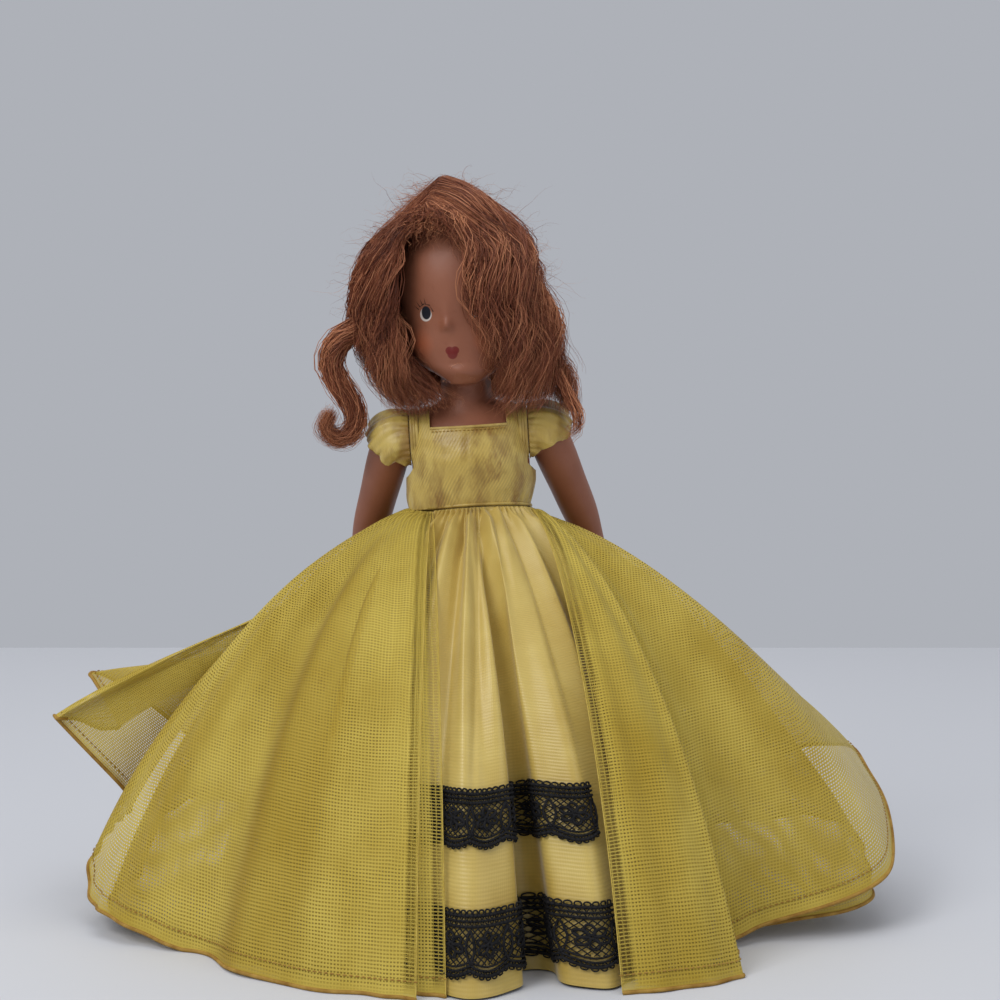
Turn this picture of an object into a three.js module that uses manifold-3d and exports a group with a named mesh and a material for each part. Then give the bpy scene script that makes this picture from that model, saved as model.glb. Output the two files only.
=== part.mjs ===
// Storybook doll: a bisque body with strung arms, a wig, and a satin dress under an open net overskirt.
// Millimetres, +Z up. The doll faces -Y and +X is the viewer's right. The floor is z = 0.
import * as THREE from "three";
import { mergeVertices } from "three/addons/utils/BufferGeometryUtils.js";
import Module from "manifold-3d";

const wasm = await Module();
wasm.setup();

// Driving sizes
const WAIST_HEIGHT = 78;
const BODY_HALF = 9.4; // half the waist's width
const BODY_DEPTH = 7.8; // half the waist's depth
const LEAN = THREE.MathUtils.degToRad(3.5); // the upper body leans to the viewer's left
const SEAM_TILT = THREE.MathUtils.degToRad(10); // the waist seam is higher in front
const HEAD_TURN = THREE.MathUtils.degToRad(-9); // the face looks a little to the viewer's left
const GAP = 0.3; // air between neighbouring pieces
const CLOTH = 0.8; // thickness of every cloth piece

// Heights above the waist
const SHOULDER_RISE = 14;
const NECKLINE_RISE = 16;
const CHIN_RISE = 22.9;
const HEAD_HEIGHT = 33;
const HEAD_HALF = 12.3; // half the head's width

// Shoulder and arm
const SHOULDER_FACE = 10.4; // half the distance between the flat shoulder faces
const SHOULDER_RADIUS = 4.6;
const ARM_RADIUS = 4;
const ARM_LENGTH = 38;
const ARM_SPLAY = THREE.MathUtils.degToRad(16);
const ARM_REST = THREE.MathUtils.degToRad(35); // the arms hang this far back
const ELASTIC_RADIUS = 0.8;
const KNOT_RADIUS = 1.8;
const KNOT_LENGTH = 1.6;
const KNOT_PLACE = 3.8; // from the arm's flat face to the knot
const SLEEVE_RADIUS = 5.7;
const SLEEVE_LENGTH = 2;
const SLEEVE_RUFFLE = 0.5;
const ARMHOLE_CLEARANCE = 7.4; // the sleeve swings inside this radius

// Dress
const NECK_OPENING = 14.2;
const STRAP_RISE = 5; // room for the straps above the neckline
const UNDERSKIRT_REACH = 49;
const UNDERSKIRT_FOLD = 2.2;
const UNDERSKIRT_FOLDS = 13;
const UNDERSKIRT_DROP = 2.1; // below the waist seam, to its middle surface
const UNDERSKIRT_DIP = 0.2; // share of the net's side dip, all round
const NET_DROP = 0.85;
const NET_FOLD = 1.6; // the net's regular folds stand out this far at the hem
const NET_FOLDS = 11;
const NET_FLARE = 33; // the net's corners stand this far beyond the underskirt
const NET_LIFT = 41; // and this high off the floor
const DIP_DEPTH = 24; // how far the skirts sink where the arms pass
const SKIRT_EASE = 0.5; // how far the skirts stand off the waist
const FRONT_RECESS = 7; // depth of the fold between the two front panels
const LACE_THICKNESS = 0.6;
const SNAP_RADIUS = 1.6;
const SNAP_HEIGHT = 0.7;

const ROOM = 90; // blocks that cut a piece are this large, beyond any piece above the waist

const deg = THREE.MathUtils.degToRad;
const lerp = THREE.MathUtils.lerp;
const vec = (x, y, z) => new THREE.Vector3(x, y, z);
const spread = (count, from = 0, to = 1) => [...Array(count + 1)].map((_, i) => lerp(from, to, i / count));

// Geometry helpers

function indexed(points, faces) {
  const geometry = new THREE.BufferGeometry();
  const place = new Float32Array(points.length * 3);
  points.forEach((p, i) => p.toArray(place, i * 3));
  geometry.setAttribute("position", new THREE.BufferAttribute(place, 3));
  geometry.setIndex(faces);
  return geometry;
}

// One face of a grid of rows; turned reverses its facing, and closed joins the last column to the first.
function gridFaces(rows, columns, start, closed, turned) {
  const faces = [];
  const steps = closed ? columns : columns - 1;
  for (let i = 0; i < rows - 1; i++) {
    for (let j = 0; j < steps; j++) {
      const a = start + i * columns + j;
      const b = start + i * columns + ((j + 1) % columns);
      const c = b + columns;
      const d = a + columns;
      faces.push(...(turned ? [a, c, b, a, d, c] : [a, b, c, a, c, d]));
    }
  }
  return faces;
}

// A solid through rings that are stacked upwards, with a fan over each end.
function loft(rings) {
  const columns = rings[0].length;
  const points = rings.flat();
  const faces = gridFaces(rings.length, columns, 0, true, false);
  const last = (rings.length - 1) * columns;
  const middle = (ring) => ring.reduce((sum, p) => sum.add(p), vec(0, 0, 0)).divideScalar(columns);
  points.push(middle(rings[0]), middle(rings[rings.length - 1]));
  for (let j = 0; j < columns; j++) {
    const next = (j + 1) % columns;
    faces.push(points.length - 2, next, j);
    faces.push(points.length - 1, last + j, last + next);
  }
  return indexed(points, faces);
}

// A sheet of cloth with a thickness: two grids of the same size, joined along every open edge.
function sheet(outer, inner, closed) {
  const rows = outer.length;
  const columns = outer[0].length;
  const points = [...outer.flat(), ...inner.flat()];
  const half = rows * columns;
  const faces = gridFaces(rows, columns, 0, closed, false);
  faces.push(...gridFaces(rows, columns, half, closed, true));
  const join = (a, b) => faces.push(a, half + a, half + b, a, half + b, b);
  const steps = closed ? columns : columns - 1;
  for (let j = 0; j < steps; j++) {
    const next = (j + 1) % columns;
    join(j, next);
    join((rows - 1) * columns + next, (rows - 1) * columns + j);
  }
  for (let i = 0; i < rows - 1 && !closed; i++) {
    join((i + 1) * columns, i * columns);
    join((i + 1) * columns - 1, (i + 2) * columns - 1);
  }
  return indexed(points, faces);
}

function solid(geometry) {
  const bare = geometry.clone();
  bare.deleteAttribute("normal");
  bare.deleteAttribute("uv");
  const merged = mergeVertices(bare);
  const vertProperties = Float32Array.from(merged.attributes.position.array);
  const triVerts = Uint32Array.from(merged.index.array);
  const made = new wasm.Manifold(new wasm.Mesh({ numProp: 3, vertProperties, triVerts }));
  if (made.volume() > 0) return made;
  for (let i = 0; i < triVerts.length; i += 3) {
    [triVerts[i], triVerts[i + 1]] = [triVerts[i + 1], triVerts[i]];
  }
  return new wasm.Manifold(new wasm.Mesh({ numProp: 3, vertProperties, triVerts }));
}

function geometryOf(body) {
  const mesh = body.getMesh();
  const geometry = new THREE.BufferGeometry();
  geometry.setAttribute("position", new THREE.BufferAttribute(mesh.vertProperties, 3));
  geometry.setIndex(new THREE.BufferAttribute(mesh.triVerts, 1));
  return geometry;
}

// A rod along X between two places, centred on the height given.
function rodAlongX(radius, from, to, height, sides = 32) {
  const rod = new THREE.CylinderGeometry(radius, radius, to - from, sides);
  rod.rotateZ(Math.PI / 2);
  rod.translate((from + to) / 2, 0, height);
  return solid(rod);
}

function block(width, depth, height, x, y, z) {
  const box = new THREE.BoxGeometry(width, depth, height);
  box.translate(x, y, z);
  return solid(box);
}

// Horizontal oval rings from stations of height, half width, front and back; grow thickens them all round.
function ovalRings(stations, grow, columns, centreX = 0) {
  return stations.map(({ z, half, front, back }, i) => {
    const ring = [];
    const height = z + grow * lerp(-1, 1, i / (stations.length - 1));
    for (let j = 0; j < columns; j++) {
      const turn = (j / columns) * Math.PI * 2;
      const depth = (back - front) / 2 + grow;
      const y = (front + back) / 2 - depth * Math.cos(turn);
      ring.push(vec(centreX + (half + grow) * Math.sin(turn), y, height));
    }
    return ring;
  });
}

// A tapering round limb or lock along a path; radii are spread evenly along it, and flat narrows it across.
function limb(path, radii, sides, steps, flat = 1) {
  const curve = new THREE.CatmullRomCurve3(path);
  const size = new THREE.SplineCurve(radii.map((r, i) => new THREE.Vector2(i / (radii.length - 1), r)));
  const across = vec(0, 1, 0);
  const rings = [];
  for (let i = 0; i <= steps; i++) {
    const place = curve.getPoint(i / steps);
    const along = curve.getTangent(i / steps);
    const side = across.clone().addScaledVector(along, -across.dot(along)).normalize();
    const other = vec(0, 0, 0).crossVectors(along, side);
    const radius = size.getPoint(i / steps).y;
    const ring = [];
    for (let j = 0; j < sides; j++) {
      const turn = (j / sides) * Math.PI * 2;
      const p = place.clone().addScaledVector(side, radius * Math.cos(turn));
      ring.push(p.addScaledVector(other, radius * flat * Math.sin(turn)));
    }
    rings.push(ring);
  }
  return loft(rings);
}

// Materials and the group
const doll = new THREE.Group();
doll.name = "storybook_doll";
const upper = new THREE.Group(); // everything above the waist, leaning
upper.name = "upper_body";
upper.position.z = WAIST_HEIGHT;
upper.rotation.y = -LEAN;
upper.updateMatrix();
doll.add(upper);

function piece(parent, name, geometry, colour, roughness) {
  geometry.computeVertexNormals();
  const mesh = new THREE.Mesh(geometry, new THREE.MeshStandardMaterial({ color: colour, roughness }));
  mesh.name = name;
  parent.add(mesh);
  return mesh;
}

const BISQUE = 0xc98f74;
const HAIR = 0x7a3f2a;
const SATIN = 0xd8c07c;
const NET = 0xcfb668;
const LACE = 0x26242a;
const ELASTIC = 0xd9d2c4;
const METAL = 0xb9b9bb;

// Body casting: legs and hips stand upright, torso and head lean
// Stations give shares: z of a height, half, front and back of a half width.
const BODY_COLUMNS = 28;
const LEG_COLUMNS = 20;
const LEG_SPACING = 1.28 * BODY_HALF;
const legShape = [
  { z: 0, half: 0.35, front: -1, back: 0.36 },
  { z: 0.03, half: 0.37, front: -1.02, back: 0.38 },
  { z: 0.06, half: 0.34, front: -0.81, back: 0.37 },
  { z: 0.09, half: 0.3, front: -0.38, back: 0.34 },
  { z: 0.155, half: 0.32, front: -0.32, back: 0.38 },
  { z: 0.31, half: 0.47, front: -0.43, back: 0.53 },
  { z: 0.45, half: 0.44, front: -0.45, back: 0.44 },
  { z: 0.59, half: 0.55, front: -0.55, back: 0.57 },
  { z: 0.77, half: 0.64, front: -0.68, back: 0.72 },
];
const hipShape = [
  { z: 0.705, half: 0.915, front: -0.66, back: 0.745 },
  { z: 0.77, half: 1.255, front: -0.81, back: 0.935 },
  { z: 0.845, half: 1.255, front: -0.85, back: 0.955 },
  { z: 0.925, half: 1.065, front: -0.84, back: 0.87 },
  { z: 1, half: 0.98, front: -0.81, back: 0.81 },
];
const faceShape = [
  { z: 0, half: 0.21, front: -0.78, back: -0.33 },
  { z: 0.05, half: 0.44, front: -0.86, back: -0.08 },
  { z: 0.125, half: 0.62, front: -0.89, back: 0.28 },
  { z: 0.215, half: 0.76, front: -0.9, back: 0.62 },
  { z: 0.335, half: 0.87, front: -0.91, back: 0.88 },
  { z: 0.455, half: 0.95, front: -0.94, back: 1.02 },
  { z: 0.61, half: 1, front: -0.96, back: 1.09 },
  { z: 0.76, half: 0.94, front: -0.86, back: 1.02 },
  { z: 0.88, half: 0.75, front: -0.63, back: 0.81 },
  { z: 0.965, half: 0.47, front: -0.34, back: 0.52 },
  { z: 1, half: 0.16, front: -0.05, back: 0.23 },
];
const wigShape = [
  { z: 0.04, half: 1.22, front: -0.53, back: 1.22 },
  { z: 0.155, half: 1.41, front: -0.77, back: 1.35 },
  { z: 0.4, half: 1.48, front: -0.98, back: 1.43 },
  { z: 0.64, half: 1.41, front: -1.04, back: 1.38 },
  { z: 0.85, half: 1.2, front: -0.98, back: 1.22 },
  { z: 1.02, half: 0.86, front: -0.68, back: 0.89 },
  { z: 1.125, half: 0.41, front: -0.36, back: 0.52 },
  { z: 1.175, half: 0.11, front: -0.08, back: 0.16 },
];
function stationsOf(shape, floor, height, width) {
  return shape.map(({ z, half, front, back }) => {
    return { z: floor + z * height, half: half * width, front: front * width, back: back * width };
  });
}
const legStations = stationsOf(legShape, 0, WAIST_HEIGHT, BODY_HALF);
const hipStations = stationsOf(hipShape, 0, WAIST_HEIGHT, BODY_HALF);
const headStations = stationsOf(faceShape, CHIN_RISE, HEAD_HEIGHT, HEAD_HALF);
const hairStations = stationsOf(wigShape, CHIN_RISE, HEAD_HEIGHT, HEAD_HALF);

// The torso's heights follow the shoulders, the neckline and the chin.
const torsoShape = [
  { z: -0.36 * SHOULDER_RISE, half: 1, front: -1, back: 1 },
  { z: 0, half: 1, front: -1, back: 1 },
  { z: 0.36 * SHOULDER_RISE, half: 1.15, front: -1.1, back: 1.05 },
  { z: 0.71 * SHOULDER_RISE, half: 1.17, front: -1.15, back: 1.08 },
  { z: SHOULDER_RISE, half: 1.16, front: -1, back: 1.025 },
  { z: lerp(NECKLINE_RISE, CHIN_RISE, 0.09), half: 1.15, front: -0.79, back: 0.92 },
  { z: lerp(NECKLINE_RISE, CHIN_RISE, 0.35), half: 1.01, front: -0.63, back: 0.81 },
  { z: lerp(NECKLINE_RISE, CHIN_RISE, 0.5), half: 0.78, front: -0.56, back: 0.76 },
  { z: lerp(NECKLINE_RISE, CHIN_RISE, 0.62), half: 0.53, front: -0.51, back: 0.72 },
  { z: lerp(NECKLINE_RISE, CHIN_RISE, 1.58), half: 0.5, front: -0.51, back: 0.67 },
];
const torsoStations = torsoShape.map(({ z, half, front, back }) => {
  return { z, half: half * BODY_HALF, front: front * BODY_DEPTH, back: back * BODY_DEPTH };
});
const chest = torsoStations[3];

// A point on the head's surface, at a height and a turn from the middle of the face.
function headPoint(turn, z, out) {
  const above = headStations.findIndex((s) => s.z >= z);
  const high = headStations[Math.max(above, 1)];
  const low = headStations[Math.max(above, 1) - 1];
  const share = (z - low.z) / (high.z - low.z);
  const half = lerp(low.half, high.half, share) + out;
  const front = lerp(low.front, high.front, share) - out;
  const back = lerp(low.back, high.back, share) + out;
  const p = vec(half * Math.sin(turn), (front + back) / 2 - ((back - front) / 2) * Math.cos(turn), z);
  return p.applyAxisAngle(vec(0, 0, 1), HEAD_TURN);
}

const head = (grow) => solid(loft(ovalRings(headStations, grow, BODY_COLUMNS)).rotateZ(HEAD_TURN));
const torso = (grow) => solid(loft(ovalRings(torsoStations, grow, BODY_COLUMNS)));
const leg = (side, grow) => solid(loft(ovalRings(legStations, grow, LEG_COLUMNS, (side * LEG_SPACING) / 2)));
const hips = (grow) => solid(loft(ovalRings(hipStations, grow, BODY_COLUMNS)));
const raise = (body) => solid(geometryOf(body).applyMatrix4(upper.matrix));

const shoulderZone = ARMHOLE_CLEARANCE + GAP;
const outerReach = 2 * SHOULDER_FACE;
const NOSE_RADIUS = 0.12 * HEAD_HALF;
const NOSE_RISE = 0.33; // share of the head's height
let trunk = torso(0).add(head(0));
const nose = new THREE.IcosahedronGeometry(NOSE_RADIUS, 2);
nose.scale(0.8, 0.9, 1.1);
const noseTip = headPoint(0, CHIN_RISE + HEAD_HEIGHT * NOSE_RISE, 0);
nose.translate(noseTip.x, noseTip.y, noseTip.z);
trunk = trunk.add(solid(nose));
for (const side of [-1, 1]) {
  const span = [side * SHOULDER_FACE, side * outerReach].sort((a, b) => a - b);
  trunk = trunk.subtract(rodAlongX(shoulderZone, ...span, SHOULDER_RISE));
  const boss = [(side * SHOULDER_FACE) / 2, side * SHOULDER_FACE].sort((a, b) => a - b);
  trunk = trunk.add(rodAlongX(SHOULDER_RADIUS, ...boss, SHOULDER_RISE));
}
trunk = trunk.subtract(rodAlongX(ELASTIC_RADIUS + GAP, -outerReach, outerReach, SHOULDER_RISE, 16));
const casting = raise(trunk).add(hips(0)).add(leg(-1, 0)).add(leg(1, 0));
piece(doll, "body_casting", geometryOf(casting), BISQUE, 0.55);

// Drawers under the skirt, around the hips and thighs
const DRAWERS_TOP = 0.87 * WAIST_HEIGHT;
const DRAWERS_BOTTOM = 0.58 * WAIST_HEIGHT;
const around = (grow) => hips(grow).add(leg(-1, grow)).add(leg(1, grow));
const drawersHeight = DRAWERS_TOP - DRAWERS_BOTTOM;
const drawersSpan = block(ROOM, ROOM, drawersHeight, 0, 0, DRAWERS_BOTTOM + drawersHeight / 2);
const drawers = around(GAP + CLOTH).subtract(around(GAP)).intersect(drawersSpan);
piece(doll, "pantalettes", geometryOf(drawers), ELASTIC, 0.8);

// Stringing elastic: a thin rod with a knot at each end, on the shoulder axis
const ARM_FACE = SHOULDER_FACE + GAP;
const knotStart = ARM_FACE + KNOT_PLACE;
const knotEnd = knotStart + KNOT_LENGTH;
const elasticOutline = [
  [0, -knotEnd],
  [KNOT_RADIUS, -knotEnd],
  [KNOT_RADIUS, -knotStart],
  [ELASTIC_RADIUS, -knotStart],
  [ELASTIC_RADIUS, knotStart],
  [KNOT_RADIUS, knotStart],
  [KNOT_RADIUS, knotEnd],
  [0, knotEnd],
];
const elastic = new THREE.LatheGeometry(elasticOutline.map(([r, x]) => new THREE.Vector2(r, x)), 16);
elastic.rotateZ(-Math.PI / 2);
elastic.translate(0, 0, SHOULDER_RISE);
piece(upper, "arm_elastic", geometryOf(solid(elastic)), ELASTIC, 0.8);

// Arms: modelled hanging from the origin with the flat face at x = 0, then turned back and put in place
const ARM_START = 0.9 * ARM_RADIUS; // the arm's centre line at the shoulder
const HUB_LENGTH = 0.6 * ARM_RADIUS; // the flat round hub that meets the shoulder
const armCentre = (down) => vec(ARM_START + down * Math.tan(ARM_SPLAY), 0, -down);
// Shares: place down the arm's length, radius of the arm's radius, and bend forward of its length.
const armPlaces = [
  { down: -0.053, radius: 0.85, bend: 0 },
  { down: 0.105, radius: 1.05, bend: 0 },
  { down: 0.34, radius: 0.98, bend: 0 },
  { down: 0.55, radius: 0.9, bend: 0 },
  { down: 0.763, radius: 0.62, bend: 0.021 },
  { down: 0.868, radius: 0.68, bend: 0.032 },
  { down: 1, radius: 0.22, bend: 0.05 },
];
function armShape() {
  const path = armPlaces.map(({ down, bend }) => {
    return armCentre(down * ARM_LENGTH).add(vec(0, -bend * ARM_LENGTH, 0));
  });
  path.unshift(vec(ARM_START - 0.2 * ARM_RADIUS, 0, ARM_RADIUS));
  const radii = [0.25, ...armPlaces.map(({ radius }) => radius)].map((share) => share * ARM_RADIUS);
  let arm = solid(limb(path, radii, 20, 22, 0.92));
  arm = arm.add(rodAlongX(SHOULDER_RADIUS - GAP, 0, HUB_LENGTH, 0));
  arm = arm.subtract(block(ROOM, ROOM, ROOM, -ROOM / 2, 0, 0));
  arm = arm.subtract(rodAlongX(ELASTIC_RADIUS + GAP, -GAP, ARM_LENGTH, 0, 16));
  return arm.subtract(rodAlongX(KNOT_RADIUS + GAP, KNOT_PLACE - GAP, ARM_LENGTH, 0, 24));
}

// Cap sleeves: the rings turn from the armhole's plane to across the arm, and stay open under the arm
const SLEEVE_TILT = deg(50); // from the armhole's plane to the cuff's
const ARMHOLE_WRAP = deg(128); // each way from the top
const CUFF_WRAP = deg(84);
const SLEEVE_SETBACK = 0.95 * ARM_START; // the armhole's centre lies this far inside the arm's
const RUFFLES = 9;
function sleeveGrid(out) {
  return spread(6).map((t) => {
    const tilt = t * SLEEVE_TILT;
    const upward = vec(Math.sin(tilt), 0, Math.cos(tilt));
    const centre = armCentre(SLEEVE_LENGTH * t * t).add(vec(-((1 - t) ** 2) * SLEEVE_SETBACK, 0, 0));
    const puff = SLEEVE_RADIUS * (0.86 + 0.14 * t + 0.09 * Math.sin(t * Math.PI)) + out;
    return spread(18, -1, 1).map((side) => {
      const turn = side * lerp(ARMHOLE_WRAP, CUFF_WRAP, t);
      const reach = puff + SLEEVE_RUFFLE * t * t * Math.cos(RUFFLES * turn);
      const p = centre.clone().addScaledVector(upward, reach * Math.cos(turn));
      return p.add(vec(0, reach * Math.sin(turn), 0));
    });
  });
}
const sleeveShape = () => solid(sheet(sleeveGrid(CLOTH / 2), sleeveGrid(-CLOTH / 2), false));

for (const [name, side] of [["left", -1], ["right", 1]]) {
  const limbs = { arm: armShape(), sleeve: sleeveShape() };
  for (const [kind, body] of Object.entries(limbs)) {
    const shape = geometryOf(body);
    shape.rotateX(ARM_REST);
    shape.translate(ARM_FACE, 0, SHOULDER_RISE);
    if (side < 0) shape.scale(-1, 1, 1);
    piece(upper, `${name}_${kind}`, geometryOf(solid(shape)), kind === "arm" ? BISQUE : SATIN, 0.5);
  }
}

// Waist seam: an oval that tilts up in front and leans with the body
const WAIST_HALF = BODY_HALF + GAP + CLOTH / 2;
const WAIST_DEPTH = BODY_DEPTH + GAP + CLOTH / 2;
function seamPoint(turn, out, drop) {
  const x = (WAIST_HALF + out) * Math.sin(turn);
  const y = -(WAIST_DEPTH + out) * Math.cos(turn);
  return vec(x, y, -y * Math.tan(SEAM_TILT) - drop).applyMatrix4(upper.matrix);
}

// Waist tape between the bodice and the skirts
const TAPE_TOP = 0.3; // below the seam
const TAPE_BOTTOM = 1.4;
const tapeRing = (out) => [TAPE_BOTTOM, TAPE_TOP].map((drop) => {
  return spread(40).slice(0, 40).map((u) => seamPoint(u * Math.PI * 2, out, drop));
});
const tape = sheet(tapeRing(GAP + CLOTH / 2), tapeRing(GAP - CLOTH / 2), true);
piece(doll, "waist_tape", geometryOf(solid(tape)), SATIN, 0.5);

// Bodice: a shell round the torso, cut at the seam, the square neck and the armholes
let bodice = torso(GAP + CLOTH).subtract(torso(GAP));
const belowSeam = new THREE.BoxGeometry(ROOM, ROOM, ROOM);
belowSeam.translate(0, 0, -ROOM / 2);
belowSeam.rotateX(-SEAM_TILT);
bodice = bodice.subtract(solid(belowSeam));
bodice = bodice.subtract(block(NECK_OPENING, ROOM, ROOM, 0, 0, NECKLINE_RISE + ROOM / 2));
bodice = bodice.subtract(block(ROOM, ROOM, ROOM, 0, 0, NECKLINE_RISE + STRAP_RISE + ROOM / 2));
bodice = bodice.subtract(rodAlongX(SHOULDER_RADIUS + GAP, -outerReach, outerReach, SHOULDER_RISE));
for (const side of [-1, 1]) {
  const span = [side * (ARM_FACE - GAP / 3), side * outerReach].sort((a, b) => a - b);
  bodice = bodice.subtract(rodAlongX(ARMHOLE_CLEARANCE, ...span, SHOULDER_RISE));
}
piece(upper, "bodice", geometryOf(bodice), SATIN, 0.4);

// Snap on the bodice's back
const snap = new THREE.CylinderGeometry(SNAP_RADIUS, SNAP_RADIUS, SNAP_HEIGHT, 24);
snap.translate(0, chest.back + 2 * GAP + CLOTH + SNAP_HEIGHT / 2, chest.z);
piece(upper, "back_snap", snap, METAL, 0.3);

// Wig: the main mass is hollowed for the head and open over the face
const HAIR_SHIFT = -0.08 * HEAD_HALF; // the wig sits a little to the viewer's left
const FACE_HALF = 0.845 * HEAD_HALF;
const FACE_TOP = CHIN_RISE + 0.867 * HEAD_HEIGHT;
const FACE_MIDDLE = CHIN_RISE + 0.427 * HEAD_HEIGHT;
const FACE_BACK = -0.325 * HEAD_HALF; // the opening over the face goes back to here
const NECK_ROOM = 1.22 * HEAD_HALF;
const NECK_BACK = 0.73 * HEAD_HALF;
const NECK_TOP = CHIN_RISE + 0.276 * HEAD_HEIGHT;
function faceWindow(grow) {
  const back = FACE_BACK + grow - ROOM / 2;
  const arch = new THREE.CylinderGeometry(1, 1, ROOM, 36);
  arch.scale(FACE_HALF + grow, 1, FACE_TOP - FACE_MIDDLE + grow);
  arch.translate(0, back, FACE_MIDDLE);
  const below = block(2 * (FACE_HALF + grow), ROOM, ROOM, 0, back, FACE_MIDDLE - ROOM / 2);
  return solid(arch).add(below);
}
let crown = solid(loft(ovalRings(hairStations, 0, 32, HAIR_SHIFT)));
crown = crown.subtract(head(GAP)).subtract(faceWindow(0));
crown = crown.subtract(block(NECK_ROOM, ROOM, ROOM, 0, NECK_BACK - ROOM / 2, NECK_TOP - ROOM / 2));
piece(upper, "hair_crown", geometryOf(crown), HAIR, 0.6);

// Fringe: swept from the parting over the viewer's right half of the face
const FRINGE_THICKNESS = 1.7;
const FRINGE_LIFT = 0.25; // off the face, beyond the usual gap
const FRINGE_BACK = 84; // degrees round from the middle of the face
const fringeShape = [
  { turn: -20, z: 0.839 },
  { turn: 8, z: 0.64 },
  { turn: 26, z: 0.397 },
  { turn: 50, z: 0.124 },
];
const fringeEdge = new THREE.CatmullRomCurve3(
  fringeShape.map(({ turn, z }) => vec(turn, 0, CHIN_RISE + z * HEAD_HEIGHT)),
);
function fringeGrid(out) {
  return spread(10, 1, 0).map((t) => {
    const edge = fringeEdge.getPoint(t);
    return spread(8, edge.x, FRINGE_BACK).map((turn) => headPoint(deg(turn), edge.z, out));
  });
}
let fringe = solid(sheet(fringeGrid(GAP + FRINGE_THICKNESS), fringeGrid(GAP + FRINGE_LIFT), false));
fringe = fringe.intersect(faceWindow(-GAP));
piece(upper, "hair_fringe", geometryOf(fringe), HAIR, 0.6);

// Hanging locks and the roll at the nape: places in shares of the head's half width and height
const LOCK_RADIUS = 2.8;
const LOCK_SIDES = 12;
const lockPlace = (x, y, z) => vec(x * HEAD_HALF, y * HEAD_HALF, CHIN_RISE + z * HEAD_HEIGHT);
const locks = {
  left_ringlet: {
    path: [[-1.577, -0.163, 0.427], [-1.935, -0.276, 0.261], [-2.08, -0.325, 0.094],
      [-1.837, -0.325, -0.073], [-1.967, -0.325, -0.285]],
    thick: [0.43, 1, 1, 0.89, 0.29],
  },
  right_lock: {
    path: [[1.488, 0, 0.473], [1.602, -0.081, 0.291], [1.585, -0.163, 0.155], [1.382, -0.276, 0.021]],
    thick: [0.36, 0.86, 0.89, 0.29],
  },
  hair_nape_roll: {
    path: [[-0.935, 0.7, -0.027], [-0.57, 1.024, -0.04], [0, 1.138, -0.045],
      [0.57, 1.024, -0.04], [0.935, 0.7, -0.027]],
    thick: [0.36, 0.79, 0.86, 0.79, 0.36],
  },
};
for (const [name, { path, thick }] of Object.entries(locks)) {
  const radii = thick.map((share) => share * LOCK_RADIUS);
  const shape = limb(path.map((place) => lockPlace(...place)), radii, LOCK_SIDES, 4 * path.length - 2);
  piece(upper, name, geometryOf(solid(shape)), HAIR, 0.6);
}

// Skirts: each meridian is a curve from the waist seam to the hem; dip sinks it where the arms pass.
// The two bends between lie at these shares of the way out, of the fall and of the dip.
const HIP_BEND = { out: 0.27, fall: 0.03, dip: 1 };
const KNEE_BEND = { out: 0.72, fall: 0.37, dip: 0.6 };
function meridian(from, to, dip, t) {
  const bends = [HIP_BEND, KNEE_BEND].map((bend) => {
    const place = from.clone().lerp(to, bend.out);
    place.z = from.z - (from.z - to.z) * bend.fall - dip * bend.dip * DIP_DEPTH;
    return place;
  });
  return new THREE.CubicBezierCurve3(from, ...bends, to).getPoint(t);
}

// The sheet of a cloth from its middle surface, which is a function of the shares across and down.
// Fold is how far the cloth stands off that surface at each place.
function clothGrid(surface, across, down, out, fold = () => 0) {
  const step = 0.002;
  return down.map((t) => across.map((u) => {
    const p = surface(u, t);
    const along = surface(u + step, t).sub(surface(u - step, t));
    const fall = surface(u, Math.min(t + step, 1)).sub(surface(u, Math.max(t - step, 0)));
    const normal = vec(0, 0, 0).crossVectors(fall, along).normalize();
    return p.addScaledVector(normal, out + fold(u, t));
  }));
}

const bump = (turn, centre, width) => Math.exp(-(((turn - deg(centre)) / deg(width)) ** 2));

// Underskirt: u runs once round from the back, denser in front; two panels stand out beside a deep fold
const FRONT_DENSITY = 0.45;
// Turns and widths round the skirt in degrees; out is how far a panel stands out at the hem.
const frontPanels = [
  { turn: 1, width: 9, out: 5 },
  { turn: 26, width: 5, out: 5.5 },
  { turn: 14, width: 6, out: -FRONT_RECESS },
];
const PLAIN_FRONT = { turn: 12, width: 22 }; // no regular folds here
const ARM_DIP = { turn: 140, width: 38, dip: 0.95 }; // behind each arm, as a share of the full dip
function underskirt(u, t) {
  const even = (u - 0.5) * Math.PI * 2;
  const turn = even - FRONT_DENSITY * Math.sin(even);
  const panels = frontPanels.reduce((sum, { turn: at, width, out }) => sum + out * bump(turn, at, width), 0);
  const plain = bump(turn, PLAIN_FRONT.turn, PLAIN_FRONT.width);
  const folds = UNDERSKIRT_FOLD * Math.cos(UNDERSKIRT_FOLDS * even) * (1 - plain);
  const reach = UNDERSKIRT_REACH + (folds + panels) * t ** 0.4;
  const hem = vec(reach * Math.sin(turn), -reach * Math.cos(turn), CLOTH / 2);
  const dip = UNDERSKIRT_DIP + ARM_DIP.dip * bump(Math.abs(turn), ARM_DIP.turn, ARM_DIP.width);
  return meridian(seamPoint(turn, SKIRT_EASE, UNDERSKIRT_DROP), hem, dip, t);
}
const underColumns = spread(60).slice(0, 60);
const underRows = spread(9);
const satin = sheet(
  clothGrid(underskirt, underColumns, underRows, CLOTH / 2),
  clothGrid(underskirt, underColumns, underRows, -CLOTH / 2),
  true,
);
piece(doll, "underskirt", geometryOf(solid(satin)), SATIN, 0.4);

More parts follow.
